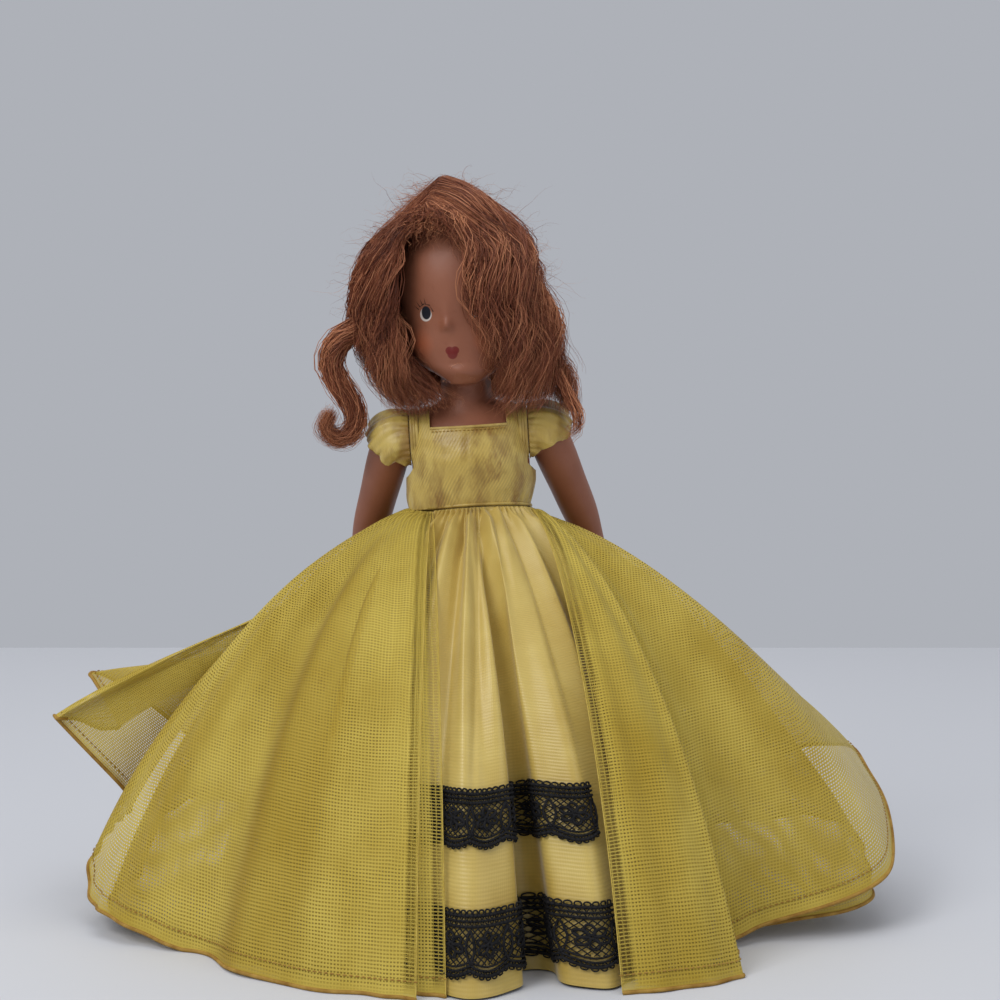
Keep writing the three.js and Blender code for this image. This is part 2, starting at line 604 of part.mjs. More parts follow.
// Lace bands on the front panels
const laceOut = CLOTH / 2 + GAP;
const laceBands = { upper_lace: [0.735, 0.815], lower_lace: [0.9, 0.98] };
for (const [name, [top, bottom]] of Object.entries(laceBands)) {
  const columns = underColumns.slice(26, 39);
  const rows = spread(3, top, bottom);
  const outer = clothGrid(underskirt, columns, rows, laceOut + LACE_THICKNESS);
  const band = sheet(outer, clothGrid(underskirt, columns, rows, laceOut), false);
  piece(doll, name, geometryOf(solid(band)), LACE, 0.8);
}

// Net overskirt: hem places from the left front edge round the back to the right front edge.
// Waist is the share of the way round the waist seam, flare and lift are shares of the corners' flare
// and lift, and turn is in degrees. The hem doubles back on itself at the left side and at the right front.
const netHem = [
  { waist: 0, turn: -9.7, flare: 0.221, lift: 0, dip: 0 },
  { waist: 0.07, turn: -31.8, flare: 0.21, lift: 0, dip: 0 },
  { waist: 0.14, turn: -59.9, flare: 0.267, lift: 0, dip: 0 },
  { waist: 0.21, turn: -77.1, flare: 0.614, lift: 0.11, dip: 0 },
  { waist: 0.26, turn: -87.3, flare: 0.745, lift: 0.15, dip: 0 },
  { waist: 0.29, turn: -94.1, flare: 0.657, lift: 0.41, dip: 0.3 },
  { waist: 0.315, turn: -98.8, flare: 0.6, lift: 0.54, dip: 0.5 },
  { waist: 0.34, turn: -94.2, flare: 0.976, lift: 0.93, dip: 0.7 },
  { waist: 0.37, turn: -104.3, flare: 0.72, lift: 0.8, dip: 0.9 },
  { waist: 0.4, turn: -108.9, flare: 0.949, lift: 1.06, dip: 1.1 },
  { waist: 0.5, turn: -138.7, flare: 0.533, lift: 0.39, dip: 1 },
  { waist: 0.57, turn: -180, flare: 0.172, lift: 0, dip: 0.3 },
  { waist: 0.64, turn: -218.3, flare: 0.522, lift: 0.29, dip: 1 },
  { waist: 0.715, turn: -245.8, flare: 1.024, lift: 0.66, dip: 0.7 },
  { waist: 0.79, turn: -275.8, flare: 0.915, lift: 0.29, dip: 0 },
  { waist: 0.86, turn: -291, flare: 0.203, lift: 0.07, dip: 0 },
  { waist: 0.9, turn: -304.6, flare: 0.171, lift: 0.04, dip: 0 },
  { waist: 0.94, turn: -311.5, flare: 0.437, lift: 0, dip: 0 },
  { waist: 1, turn: -333.2, flare: 0.263, lift: 0, dip: 0 },
];
const NET_WAIST_LEFT = -42; // where the front edges start on the waist seam, in degrees
const NET_WAIST_RIGHT = -290;
const hemCurve = new THREE.CatmullRomCurve3(
  netHem.map(({ turn, flare, lift }) => {
    const reach = UNDERSKIRT_REACH + flare * NET_FLARE;
    return vec(reach * Math.sin(deg(turn)), -reach * Math.cos(deg(turn)), lift * NET_LIFT);
  }),
  false,
  "catmullrom",
);
const holdCurve = new THREE.CatmullRomCurve3(
  netHem.map(({ waist, dip }) => vec(waist, dip, 0)),
  false,
  "catmullrom",
);
function net(u, t) {
  const share = THREE.MathUtils.clamp(u, 0, 1);
  const hem = hemCurve.getPoint(share);
  hem.z = Math.max(hem.z, CLOTH);
  const hold = holdCurve.getPoint(share);
  const turn = deg(lerp(NET_WAIST_LEFT, NET_WAIST_RIGHT, hold.x));
  const from = seamPoint(turn, SKIRT_EASE + CLOTH + GAP, NET_DROP);
  return meridian(from, hem, Math.max(hold.y, 0), t);
}
const netFold = (u, t) => NET_FOLD * (0.5 + 0.5 * Math.sin(u * NET_FOLDS * 2 * Math.PI)) * t ** 1.2;
const netColumns = spread(66);
const netRows = spread(8);
const veil = sheet(
  clothGrid(net, netColumns, netRows, CLOTH / 2, netFold),
  clothGrid(net, netColumns, netRows, -CLOTH / 2, netFold),
  false,
);
piece(doll, "net_overskirt", geometryOf(solid(veil)), NET, 0.7);

export default doll;
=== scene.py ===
import math

import bmesh
import bpy
import numpy as np
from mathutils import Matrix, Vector


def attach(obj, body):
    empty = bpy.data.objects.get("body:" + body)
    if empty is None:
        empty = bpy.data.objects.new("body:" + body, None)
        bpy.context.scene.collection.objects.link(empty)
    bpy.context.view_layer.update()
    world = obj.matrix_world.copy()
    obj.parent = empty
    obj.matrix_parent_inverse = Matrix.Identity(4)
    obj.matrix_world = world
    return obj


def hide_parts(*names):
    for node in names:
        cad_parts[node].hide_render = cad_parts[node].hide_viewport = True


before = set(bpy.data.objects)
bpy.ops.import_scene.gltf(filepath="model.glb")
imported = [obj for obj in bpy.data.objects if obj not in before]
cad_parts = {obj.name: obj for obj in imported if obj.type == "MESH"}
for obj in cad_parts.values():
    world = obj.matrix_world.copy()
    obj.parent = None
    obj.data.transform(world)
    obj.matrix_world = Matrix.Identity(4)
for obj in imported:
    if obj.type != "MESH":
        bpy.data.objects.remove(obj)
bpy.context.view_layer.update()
mm = 0.001
scene = bpy.context.scene
scene.view_settings.view_transform = "Standard"

# Shared sizes in millimetres, as in the part's source
waistHeight = 78.0
lean = math.radians(3.5)
seamTilt = math.radians(10)
headTurn = math.radians(-9)
shoulderRise = 14.0
armFace = 10.7
armRest = math.radians(35)
necklineRise = 16.0
fullTurn = 2 * math.pi
waveTurn = 6.28  # a full turn, rounded, for waves and random phases
tiny = 1e-9  # added to a length before dividing by it


def leaned(points):  # from the leaning upper body to the part's frame
    x, y, z = np.moveaxis(np.asarray(points, float), -1, 0)
    c, s = math.cos(lean), math.sin(lean)
    return np.stack([x * c - z * s, y, waistHeight + x * s + z * c], -1)


def unleaned(points):  # from the part's frame back to the leaning upper body
    x, y, z = np.moveaxis(np.asarray(points, float), -1, 0)
    c, s = math.cos(lean), math.sin(lean)
    rise = z - waistHeight
    return np.stack([x * c + rise * s, y, rise * c - x * s], -1)


def turned(points, angle):  # about +Z
    x, y, z = np.moveaxis(np.asarray(points, float), -1, 0)
    c, s = math.cos(angle), math.sin(angle)
    return np.stack([x * c - y * s, x * s + y * c, z], -1)


def unit(vectors):
    return vectors / (np.linalg.norm(vectors, axis=-1, keepdims=True) + tiny)


def bump(value, centre, width):
    return np.exp(-(((value - centre) / width) ** 2))


def smooth(edge0, edge1, value):
    t = np.clip((value - edge0) / (edge1 - edge0), 0, 1)
    return t * t * (3 - 2 * t)


def creased(angle):  # a wave with flat sides and sharp creases
    return np.arcsin(0.96 * np.cos(angle)) * 2 / math.pi


def ripple(u, v, seed, octaves=3):  # soft deterministic noise from a few waves
    dice = np.random.default_rng(seed)
    total = np.zeros(np.broadcast(u, v).shape)
    for level in range(octaves):
        for _ in range(4):
            fu, fv = dice.normal(0, 1, 2) * 2**level
            total += np.sin(fu * u + fv * v + dice.uniform(0, waveTurn)) / 4 / 1.6**level
    return total


def spline(points, t):  # Catmull-Rom through the points, t from 0 to 1
    points = np.asarray(points, float)
    last = len(points) - 1
    place = np.clip(np.asarray(t, float), 0, 1) * last
    i = np.clip(place.astype(int), 0, last - 1)
    f = (place - i)[..., None]
    a = points[np.clip(i - 1, 0, last)]
    b = points[i]
    c = points[i + 1]
    d = points[np.clip(i + 2, 0, last)]
    return 0.5 * (2 * b + (c - a) * f + (2 * a - 5 * b + 4 * c - d) * f**2 + (3 * b - a - 3 * c + d) * f**3)


def around(count):  # evenly spaced turns round a ring
    return np.linspace(0, fullTurn, count, endpoint=False)


def roundRing(x, radius, turn, height=0.0):  # an upright ring that faces sideways
    return np.stack([np.full(len(turn), x), radius * np.sin(turn), height + radius * np.cos(turn)], -1)


def gridFaces(rows, columns, closed=False):
    steps = columns if closed else columns - 1
    i, j = np.meshgrid(np.arange(rows - 1), np.arange(steps), indexing="ij")
    a = i * columns + j
    b = i * columns + (j + 1) % columns
    return np.stack([a, b, b + columns, a + columns], -1).reshape(-1, 4)


def surfaceNormals(grid):  # towards the doll on the net, whose columns run leftwards in front
    across = np.gradient(grid, axis=1)
    down = np.gradient(grid, axis=0)
    return unit(np.cross(down, across))


def setValues(mesh, values):  # named numbers, one for each point
    for key, numbers in values.items():
        mesh.attributes.new(key, "FLOAT", "POINT").data.foreach_set("value", np.ravel(numbers))


def makeMesh(name, points, faces, uv=None, **values):
    points = np.asarray(points, float).reshape(-1, 3) * mm
    faces = np.asarray(faces, int)
    mesh = bpy.data.meshes.new(name)
    mesh.vertices.add(len(points))
    mesh.vertices.foreach_set("co", points.ravel())
    count, corners = faces.shape
    mesh.loops.add(count * corners)
    mesh.loops.foreach_set("vertex_index", faces.ravel())
    mesh.polygons.add(count)
    mesh.polygons.foreach_set("loop_start", np.arange(count) * corners)
    mesh.update(calc_edges=True)
    mesh.shade_smooth()
    if uv is not None:
        layer = mesh.uv_layers.new(name="UVMap")
        layer.data.foreach_set("uv", np.asarray(uv, float).reshape(-1, 2)[faces.ravel()].ravel())
    setValues(mesh, values)
    return mesh


def makePiece(name, mesh, material):
    piece = bpy.data.objects.new(name, mesh)
    scene.collection.objects.link(piece)
    mesh.materials.clear()
    mesh.materials.append(material)
    return piece


def clothArea(piece):  # in square metres
    return sum(face.area for face in piece.data.polygons)


def applied(piece):  # bakes the modifiers into the mesh
    bpy.context.view_layer.update()
    graph = bpy.context.evaluated_depsgraph_get()
    mesh = bpy.data.meshes.new_from_object(piece.evaluated_get(graph))
    old = piece.data
    piece.modifiers.clear()
    piece.data = mesh
    bpy.data.meshes.remove(old)
    return piece


def remeshed(piece, voxel, smoothing=0):  # overlapping lumps become one skin
    remesh = piece.modifiers.new("remesh", "REMESH")
    remesh.mode = "VOXEL"
    remesh.voxel_size = voxel * mm
    if smoothing:
        piece.modifiers.new("relax", "SMOOTH").iterations = smoothing
    return applied(piece)


def thickened(piece, thickness, offset=0):
    wall = piece.modifiers.new("wall", "SOLIDIFY")
    wall.thickness = thickness * mm
    wall.offset = offset
    return applied(piece)


def loftMesh(rings):  # rings stacked upwards, closed at both ends
    rings = np.asarray(rings, float)
    rows, columns = rings.shape[:2]
    points = np.concatenate([rings.reshape(-1, 3), rings[0].mean(0)[None], rings[-1].mean(0)[None]])
    quads = gridFaces(rows, columns, True)
    j = np.arange(columns)
    nextJ = (j + 1) % columns
    low = np.stack([np.full(columns, rows * columns), nextJ, j], -1)
    top = (rows - 1) * columns
    high = np.stack([np.full(columns, rows * columns + 1), top + j, top + nextJ], -1)
    triangles = np.concatenate([quads[:, [0, 1, 2]], quads[:, [0, 2, 3]], low, high])
    return points, triangles


def joinedLofts(lumps):  # several closed lofts as one list of points and faces
    points, faces, start = [], [], 0
    for lump in lumps:
        lumpPoints, lumpFaces = loftMesh(lump)
        points.append(lumpPoints)
        faces.append(lumpFaces + start)
        start += len(lumpPoints)
    return np.concatenate(points), np.concatenate(faces)


# Shader helpers
def fill(tree, node, inputs):  # links sockets and sets plain values
    for key, value in inputs.items():
        if isinstance(value, bpy.types.NodeSocket):
            tree.links.new(value, node.inputs[key])
        else:
            node.inputs[key].default_value = value


def wire(tree, kind, inputs=None, **settings):
    made = tree.nodes.new(kind)
    for key, value in settings.items():
        setattr(made, key, value)
    fill(tree, made, inputs or {})
    return made


def calc(tree, operation, *values):
    return wire(tree, "ShaderNodeMath", dict(enumerate(values)), operation=operation).outputs[0]


def plus(tree, a, b):
    return calc(tree, "ADD", a, b)


def minus(tree, a, b):
    return calc(tree, "SUBTRACT", a, b)


def times(tree, a, b):
    return calc(tree, "MULTIPLY", a, b)


def over(tree, a, b):
    return calc(tree, "DIVIDE", a, b)


def dotted(tree, ax, ay, bx, by):
    return plus(tree, times(tree, ax, bx), times(tree, ay, by))


def clamped(tree, value):
    return wire(tree, "ShaderNodeClamp", {0: value}).outputs[0]


def mixColour(tree, factor, a, b, blend="MIX"):
    made = wire(tree, "ShaderNodeMix", data_type="RGBA", blend_type=blend)
    fill(tree, made, {0: factor, 6: a, 7: b})
    return made.outputs[2]


def ramp(tree, factor, *stops):
    made = wire(tree, "ShaderNodeValToRGB", {"Fac": factor})
    elements = made.color_ramp.elements
    while len(elements) < len(stops):
        elements.new(0.5)
    for element, (place, colour) in zip(elements, stops):
        element.position = place
        element.color = colour if hasattr(colour, "__len__") else (colour, colour, colour, 1)
    return made.outputs[0]


def noise(tree, vector, scale, detail=3.0, rough=0.55):
    inputs = {"Vector": vector, "Scale": scale, "Detail": detail, "Roughness": rough}
    return wire(tree, "ShaderNodeTexNoise", inputs).outputs[0]


def objectSpot(tree):  # the place on the piece, in metres
    return wire(tree, "ShaderNodeTexCoord").outputs["Object"]


def clothSpot(tree):  # the place on the flat cloth, in millimetres
    return wire(tree, "ShaderNodeUVMap", uv_map="UVMap").outputs[0]


def pointValue(tree, name):  # a number kept on the mesh's points
    return wire(tree, "ShaderNodeAttribute", attribute_name=name).outputs["Fac"]


def stretched(tree, vector, scale):
    return wire(tree, "ShaderNodeMapping", {0: vector, "Scale": scale}).outputs[0]


def bumped(tree, shader, height, strength, distance):
    lift = wire(tree, "ShaderNodeBump", {"Height": height, "Strength": strength, "Distance": distance})
    tree.links.new(lift.outputs[0], shader.inputs["Normal"])


def newMaterial(name):
    material = bpy.data.materials.new(name)
    material.use_nodes = True
    tree = material.node_tree
    return material, tree, tree.nodes["Principled BSDF"]


def newGroup(name, inputs, outputs):  # a shader group whose sockets are all numbers
    group = bpy.data.node_groups.new(name, "ShaderNodeTree")
    for label in inputs:
        group.interface.new_socket(label, in_out="INPUT", socket_type="NodeSocketFloat")
    for label in outputs:
        group.interface.new_socket(label, in_out="OUTPUT", socket_type="NodeSocketFloat")
    return group, group.nodes.new("NodeGroupInput").outputs, group.nodes.new("NodeGroupOutput").inputs


# Paint group: an oval mark with a soft edge on the face, in millimetres across and up
ovalGroup, ovalIn, ovalOut = newGroup(
    "ovalMark", ("Across", "Up", "Centre Across", "Centre Up", "Half Width", "Half Height", "Edge"), ("Mask",)
)
fromCentre = minus(ovalGroup, ovalIn["Across"], ovalIn["Centre Across"])
ovalAcross = over(ovalGroup, fromCentre, ovalIn["Half Width"])
aboveCentre = minus(ovalGroup, ovalIn["Up"], ovalIn["Centre Up"])
ovalUp = over(ovalGroup, aboveCentre, ovalIn["Half Height"])
ovalReach = calc(ovalGroup, "SQRT", dotted(ovalGroup, ovalAcross, ovalUp, ovalAcross, ovalUp))
ovalFade = over(ovalGroup, minus(ovalGroup, 1.0, ovalReach), ovalIn["Edge"])
ovalGroup.links.new(clamped(ovalGroup, ovalFade), ovalOut["Mask"])

# Paint group: a brush stroke between two places, tapering to its end
strokeLook = dict(taper=0.75, edge=0.06)
strokeGroup, strokeIn, strokeOut = newGroup(
    "brushStroke", ("Across", "Up", "From Across", "From Up", "To Across", "To Up", "Width"), ("Mask",)
)
spotAcross = minus(strokeGroup, strokeIn["Across"], strokeIn["From Across"])
spotUp = minus(strokeGroup, strokeIn["Up"], strokeIn["From Up"])
lineAcross = minus(strokeGroup, strokeIn["To Across"], strokeIn["From Across"])
lineUp = minus(strokeGroup, strokeIn["To Up"], strokeIn["From Up"])
strokeDot = dotted(strokeGroup, spotAcross, spotUp, lineAcross, lineUp)
strokeSize = dotted(strokeGroup, lineAcross, lineUp, lineAcross, lineUp)
strokeShare = clamped(strokeGroup, over(strokeGroup, strokeDot, strokeSize))
offAcross = minus(strokeGroup, spotAcross, times(strokeGroup, lineAcross, strokeShare))
offUp = minus(strokeGroup, spotUp, times(strokeGroup, lineUp, strokeShare))
strokeAway = calc(strokeGroup, "SQRT", dotted(strokeGroup, offAcross, offUp, offAcross, offUp))
strokeThin = minus(strokeGroup, 1.0, times(strokeGroup, strokeShare, strokeLook["taper"]))
strokeWidth = times(strokeGroup, strokeIn["Width"], strokeThin)
strokeFade = over(strokeGroup, minus(strokeGroup, strokeWidth, strokeAway), strokeLook["edge"])
strokeGroup.links.new(clamped(strokeGroup, strokeFade), strokeOut["Mask"])


def marked(tree, group, across, up, *numbers):
    made = wire(tree, "ShaderNodeGroup", node_tree=group)
    fill(tree, made, dict(enumerate((across, up) + numbers)))
    return made.outputs[0]


print("helpers ready")

# Camera, light and floor
view = dict(place=(4.9, -448.8, 119.7), pitch=5.1, focal=2403.0, pixels=1000, sensor=36)
cameraData = bpy.data.cameras.new("camera")
cameraData.sensor_width = view["sensor"]
cameraData.lens = view["focal"] / view["pixels"] * view["sensor"]
cameraData.clip_start = 0.01
camera = bpy.data.objects.new("camera", cameraData)
camera.location = Vector(view["place"]) * mm
camera.rotation_euler = (math.radians(90 - view["pitch"]), 0, 0)
scene.collection.objects.link(camera)
scene.camera = camera

stageLook = dict(
    floor=(0.60, 0.61, 0.64, 1), rough=0.7, half=341.0, sky=(0.423, 0.44, 0.479, 1), lampAim=(0, 0, 60),
)
floorPaint, floorTree, floorShader = newMaterial("floorPaint")
fill(floorTree, floorShader, {"Base Color": stageLook["floor"], "Roughness": stageLook["rough"]})
half = stageLook["half"]
floorCorners = [(-half, -half, 0), (half, -half, 0), (half, half, 0), (-half, half, 0)]
floorMesh = makeMesh("floor", floorCorners, [[0, 1, 2, 3]])
makePiece("floor", floorMesh, floorPaint)
world = bpy.data.worlds.new("studio")
world.use_nodes = True
world.node_tree.nodes["Background"].inputs[0].default_value = stageLook["sky"]
scene.world = world
lamps = {
    "key": dict(place=(-420, -520, 620), size=420, power=3.5),
    "fill": dict(place=(520, -480, 380), size=500, power=0.7),
    "top": dict(place=(0, 60, 760), size=600, power=1.9),
}
for name, lamp in lamps.items():
    lampData = bpy.data.lights.new(name, "AREA")
    lampData.energy = lamp["power"]
    lampData.size = lamp["size"] * mm
    light = bpy.data.objects.new(name, lampData)
    light.location = Vector(lamp["place"]) * mm
    aim = Vector(stageLook["lampAim"]) * mm - light.location
    light.rotation_euler = aim.to_track_quat("-Z", "Y").to_euler()
    scene.collection.objects.link(light)
print("stage ready")

# Satin: ribbed weave, soft gloss, brown age stains
satinLook = dict(
    base=(0.66, 0.50, 0.14, 1), dark=(0.47, 0.31, 0.055, 1), faded=(0.30, 0.175, 0.03, 1),
    stain=(0.24, 0.11, 0.018, 1), threads=3.4, rough=0.3,
    even={"Sheen Weight": 0.25, "Sheen Roughness": 0.4},
)
satinKinds = {  # ribs and threads in each millimetre; stains: how fine, from which noise level, how deep
    "skirtSatin": dict(twill=0.0, ribs=2.0, ribDepth=0.05, fading=0.0, stains=(95.0, 0.66, 0.75)),
    "bodiceSatin": dict(twill=-1.7, ribs=0.95, ribDepth=0.17, fading=0.8, stains=(260.0, 0.55, 0.75)),
    "sleeveSatin": dict(twill=0.9, ribs=2.4, ribDepth=0.06, fading=0.75, stains=(160.0, 0.5, 0.65)),
}


def satinMaterial(name):
    kind = satinKinds[name]
    material, tree, shader = newMaterial(name)
    spot = objectSpot(tree)
    cloth = clothSpot(tree)
    apart = wire(tree, "ShaderNodeSeparateXYZ", {0: cloth})
    along, down = apart.outputs[0], apart.outputs[1]
    line = plus(tree, down, times(tree, along, kind["twill"]))
    rib = calc(tree, "SINE", times(tree, line, fullTurn * kind["ribs"]))
    thread = calc(tree, "SINE", times(tree, along, fullTurn * satinLook["threads"]))
    weave = plus(tree, rib, times(tree, thread, 0.35))
    slub = noise(tree, stretched(tree, cloth, (0.15, 2.2, 1)), 1.0)
    tone = ramp(tree, noise(tree, spot, 60.0), (0.35, 0.0), (0.75, 1.0))
    colour = mixColour(tree, tone, satinLook["base"], satinLook["dark"])
    colour = mixColour(tree, times(tree, slub, 0.25), colour, satinLook["dark"])
    streaks = stretched(tree, spot, (1.0, 1.0, 0.4))
    faded = ramp(tree, noise(tree, streaks, 300.0, 6.0, 0.6), (0.42, 0.0), (0.62, kind["fading"]))
    colour = mixColour(tree, faded, colour, satinLook["faded"])
    stainScale, stainStart, stainDepth = kind["stains"]
    blot = noise(tree, streaks, stainScale, 5.0, 0.65)
    blots = ramp(tree, blot, (stainStart, 0.0), (stainStart + 0.12, 1.0))
    colour = mixColour(tree, times(tree, blots, stainDepth), colour, satinLook["stain"])
    worn = ramp(tree, noise(tree, spot, 260.0), (0.35, 0.0), (0.65, 1.0))
    shade = plus(tree, 0.93, times(tree, times(tree, weave, worn), kind["ribDepth"]))
    grey = wire(tree, "ShaderNodeCombineColor", {0: shade, 1: shade, 2: shade}).outputs[0]
    colour = mixColour(tree, 1.0, colour, grey, "MULTIPLY")
    rough = plus(tree, satinLook["rough"], times(tree, slub, 0.16))
    fill(tree, shader, {"Base Color": colour, "Roughness": rough})
    fill(tree, shader, satinLook["even"])
    bumped(tree, shader, plus(tree, times(tree, weave, 0.5), slub), strength=0.18, distance=0.00012)
    return material


skirtSatin, bodiceSatin, sleeveSatin = [satinMaterial(name) for name in satinKinds]

# Bisque: tinted brown, with the face painted on
bisqueLook = dict(
    base=(0.31, 0.118, 0.066, 1), deep=(0.225, 0.074, 0.037, 1), rough=0.36,
    even={
        "Specular IOR Level": 0.32,
        "Subsurface Weight": 0.08,
        "Subsurface Radius": (0.0012, 0.0006, 0.0004),
    },
)
faceLook = dict(
    eye=(4.9, 37.2), mouth=(-0.2, 29.7), cheek=(6.9, 31.4), nose=-0.9, blush=(0.5, 0.12, 0.045, 1),
    white=(0.62, 0.56, 0.5, 1), iris=(0.012, 0.014, 0.02, 1), black=(0.006, 0.005, 0.005, 1),
    red=(0.15, 0.012, 0.009, 1),
)
faceStrokes = {  # width, strength and lines from the eye's middle, towards the temple and up
    "lid": (0.14, 0.9, [(-1.5, 0.2, -0.9, 1.35), (-0.9, 1.35, 0.2, 1.62), (0.2, 1.62, 1.25, 1.05)]),
    "lashes": (
        0.13,
        0.95,
        [(1.4, 0.7, 2.3, 1.5), (1.05, 1.15, 1.75, 2.2), (0.5, 1.5, 0.9, 2.6), (-0.1, 1.6, 0.0, 2.7)],
    ),
}
lipOvals = [(-0.5, 0.4, 0.85, 0.8), (0.5, 0.4, 0.85, 0.8), (0, -0.15, 1.05, 1.1)]  # place and half sizes


def facePainted(tree, colour, rough):
    across, up, front = [pointValue(tree, name) for name in ("faceAcross", "faceUp", "faceFront")]

    def oval(*numbers):
        return times(tree, marked(tree, ovalGroup, across, up, *numbers), front)

    def stroke(*numbers):
        return times(tree, marked(tree, strokeGroup, across, up, *numbers), front)

    def paint(colour, mask, strength, tint):
        return mixColour(tree, times(tree, mask, strength), colour, tint)

    eyeX, eyeZ = faceLook["eye"]
    mouthX, mouthZ = faceLook["mouth"]
    cheekX, cheekZ = faceLook["cheek"]
    for side in (-1, 1):
        colour = paint(colour, oval(side * cheekX, cheekZ, 3.6, 3.2, 0.95), 0.55, faceLook["blush"])
        colour = paint(colour, oval(side * eyeX, eyeZ - 0.32, 1.25, 1.32, 0.12), 0.92, faceLook["white"])
        colour = paint(colour, oval(side * eyeX + 0.1, eyeZ, 0.98, 1.28, 0.1), 1.0, faceLook["iris"])
        for width, strength, lines in faceStrokes.values():
            for x0, z0, x1, z1 in lines:
                mask = stroke(side * (eyeX + x0), eyeZ + z0, side * (eyeX + x1), eyeZ + z1, width)
                colour = paint(colour, mask, strength, faceLook["black"])
    for x, z, wide, tall in lipOvals:
        colour = paint(colour, oval(mouthX + x, mouthZ + z, wide, tall, 0.16), 0.95, faceLook["red"])
    glossy = oval(mouthX, mouthZ, 1.4, 1.5, 0.3)
    return colour, minus(tree, rough, times(tree, glossy, 0.12))


def bisqueMaterial(name, painted):
    material, tree, shader = newMaterial(name)
    spot = objectSpot(tree)
    colour = mixColour(tree, noise(tree, spot, 140.0), bisqueLook["base"], bisqueLook["deep"])
    speck = ramp(tree, noise(tree, spot, 900.0, 2.0), (0.62, 0.0), (0.72, 1.0))
    colour = mixColour(tree, times(tree, speck, 0.3), colour, bisqueLook["deep"])
    rough = plus(tree, bisqueLook["rough"], times(tree, noise(tree, spot, 220.0), 0.2))
    if painted:
        colour, rough = facePainted(tree, colour, rough)
    fill(tree, shader, {"Base Color": colour, "Roughness": rough})
    fill(tree, shader, bisqueLook["even"])
    bumped(tree, shader, noise(tree, spot, 1400.0, 2.0), strength=0.12, distance=0.0001)
    return material


facePaint = bisqueMaterial("facePaint", True)
armBisque = bisqueMaterial("armBisque", False)
print("materials ready")

# Body casting: lofts joined by a voxel remesh, then the face is modelled on it
# Each row: height, half width, front, back
bodyLook = dict(voxel=0.42, smoothing=6, legSpacing=12.0, bossRadius=4.6, bossAcross=(5, 10.4))
headBase, headHeight = 22.9, 33.0
legRows = [
    (0, 3.3, -9.4, 3.4), (2.4, 3.5, -9.6, 3.6), (4.6, 3.2, -7.6, 3.5), (7, 2.8, -3.6, 3.2), (12, 3, -3, 3.6),
    (24, 4.4, -4, 5), (35, 4.1, -4.2, 4.1), (46, 5.2, -5.2, 5.4), (60, 6, -6.4, 6.8),
]
hipRows = [
    (55, 8.6, -6.2, 7), (60, 11.8, -7.6, 8.8), (66, 11.8, -8, 9), (72, 10, -7.9, 8.2), (78, 9.2, -7.6, 7.6),
]
torsoRows = [
    (-5, 9.4, -7.8, 7.8), (0, 9.4, -7.8, 7.8), (5, 10.8, -8.6, 8.2), (10, 11, -9, 8.4), (14, 10.9, -7.8, 8),
    (16.6, 10.8, -6.2, 7.2), (18.4, 9.5, -4.9, 6.3), (19.45, 7.3, -4.4, 5.9), (20.3, 5, -4, 5.6),
    (26.9, 4.7, -4, 5.2),
]
headShares = [  # the height as a share of the head's
    (0, 2.6, -9.6, -4), (0.05, 5.4, -10.6, -1), (0.125, 7.6, -11, 3.4), (0.215, 9.3, -11.1, 7.6),
    (0.335, 10.7, -11.2, 10.8), (0.455, 11.7, -11.6, 12.6), (0.61, 12.3, -11.8, 13.4),
    (0.76, 11.6, -10.6, 12.6), (0.88, 9.2, -7.8, 10), (0.965, 5.8, -4.2, 6.4), (1, 2, -0.6, 2.8),
]
headRows = [(headBase + share * headHeight, wide, front, back) for share, wide, front, back in headShares]


def ovalAt(rows, z):  # half width, front and back at each height
    table = np.asarray(rows, float)
    heights = np.interp(z, table[:, 0], np.arange(len(table))) / (len(table) - 1)
    return spline(table, heights)


def ovalPoint(rows, turn, z, out=0.0):  # turn from the front towards the viewer's right
    _, half, front, back = np.moveaxis(ovalAt(rows, z), -1, 0)
    x = (half + out) * np.sin(turn)
    y = (front + back) / 2 - ((back - front) / 2 + out) * np.cos(turn)
    return np.stack([x, y, np.broadcast_to(z, x.shape)], -1)


def ovalLoft(rows, count, columns, out=0.0):
    z = np.linspace(rows[0][0], rows[-1][0], count)[:, None]
    turn = around(columns)[None]
    return ovalPoint(rows, turn, z + 0 * turn, out)


def lowerLofts(out=0.0):  # both legs and the hips
    lofts = []
    for side in (-1, 1):
        leg = ovalLoft(legRows, count=60, columns=48, out=out)
        leg[..., 0] += side * bodyLook["legSpacing"] / 2
        lofts.append(leg)
    return lofts + [ovalLoft(hipRows, count=30, columns=64, out=out)]


def faceRelief(across, up):  # how far each feature stands out, from the nose down to the chin
    eyeX, eyeZ = faceLook["eye"]
    nose = faceLook["nose"]

    def pair(middle, apart, width):
        return bump(across, middle + apart, width) + bump(across, middle - apart, width)

    relief = 1.0 * bump(across, nose, 0.95) * bump(up, 34.8, 1.0)
    relief += 0.25 * bump(across, nose, 0.9) * bump(up, 36.6, 2.0)
    relief += 0.2 * pair(nose, 0.85, 0.45) * bump(up, 34.1, 0.5)
    relief -= 0.55 * pair(0, eyeX, 2.2) * bump(up, eyeZ, 1.7)
    relief += 0.65 * pair(0, 6.0, 2.8) * bump(up, 31.6, 2.8)
    relief += 0.3 * bump(across, 0, 1.2) * bump(up, 29.7, 1.2)
    relief += 0.6 * bump(across, 0, 2.2) * bump(up, 25.3, 1.5)
    relief -= 0.25 * bump(across, 0, 1.3) * bump(up, 27.3, 0.6)
    return relief


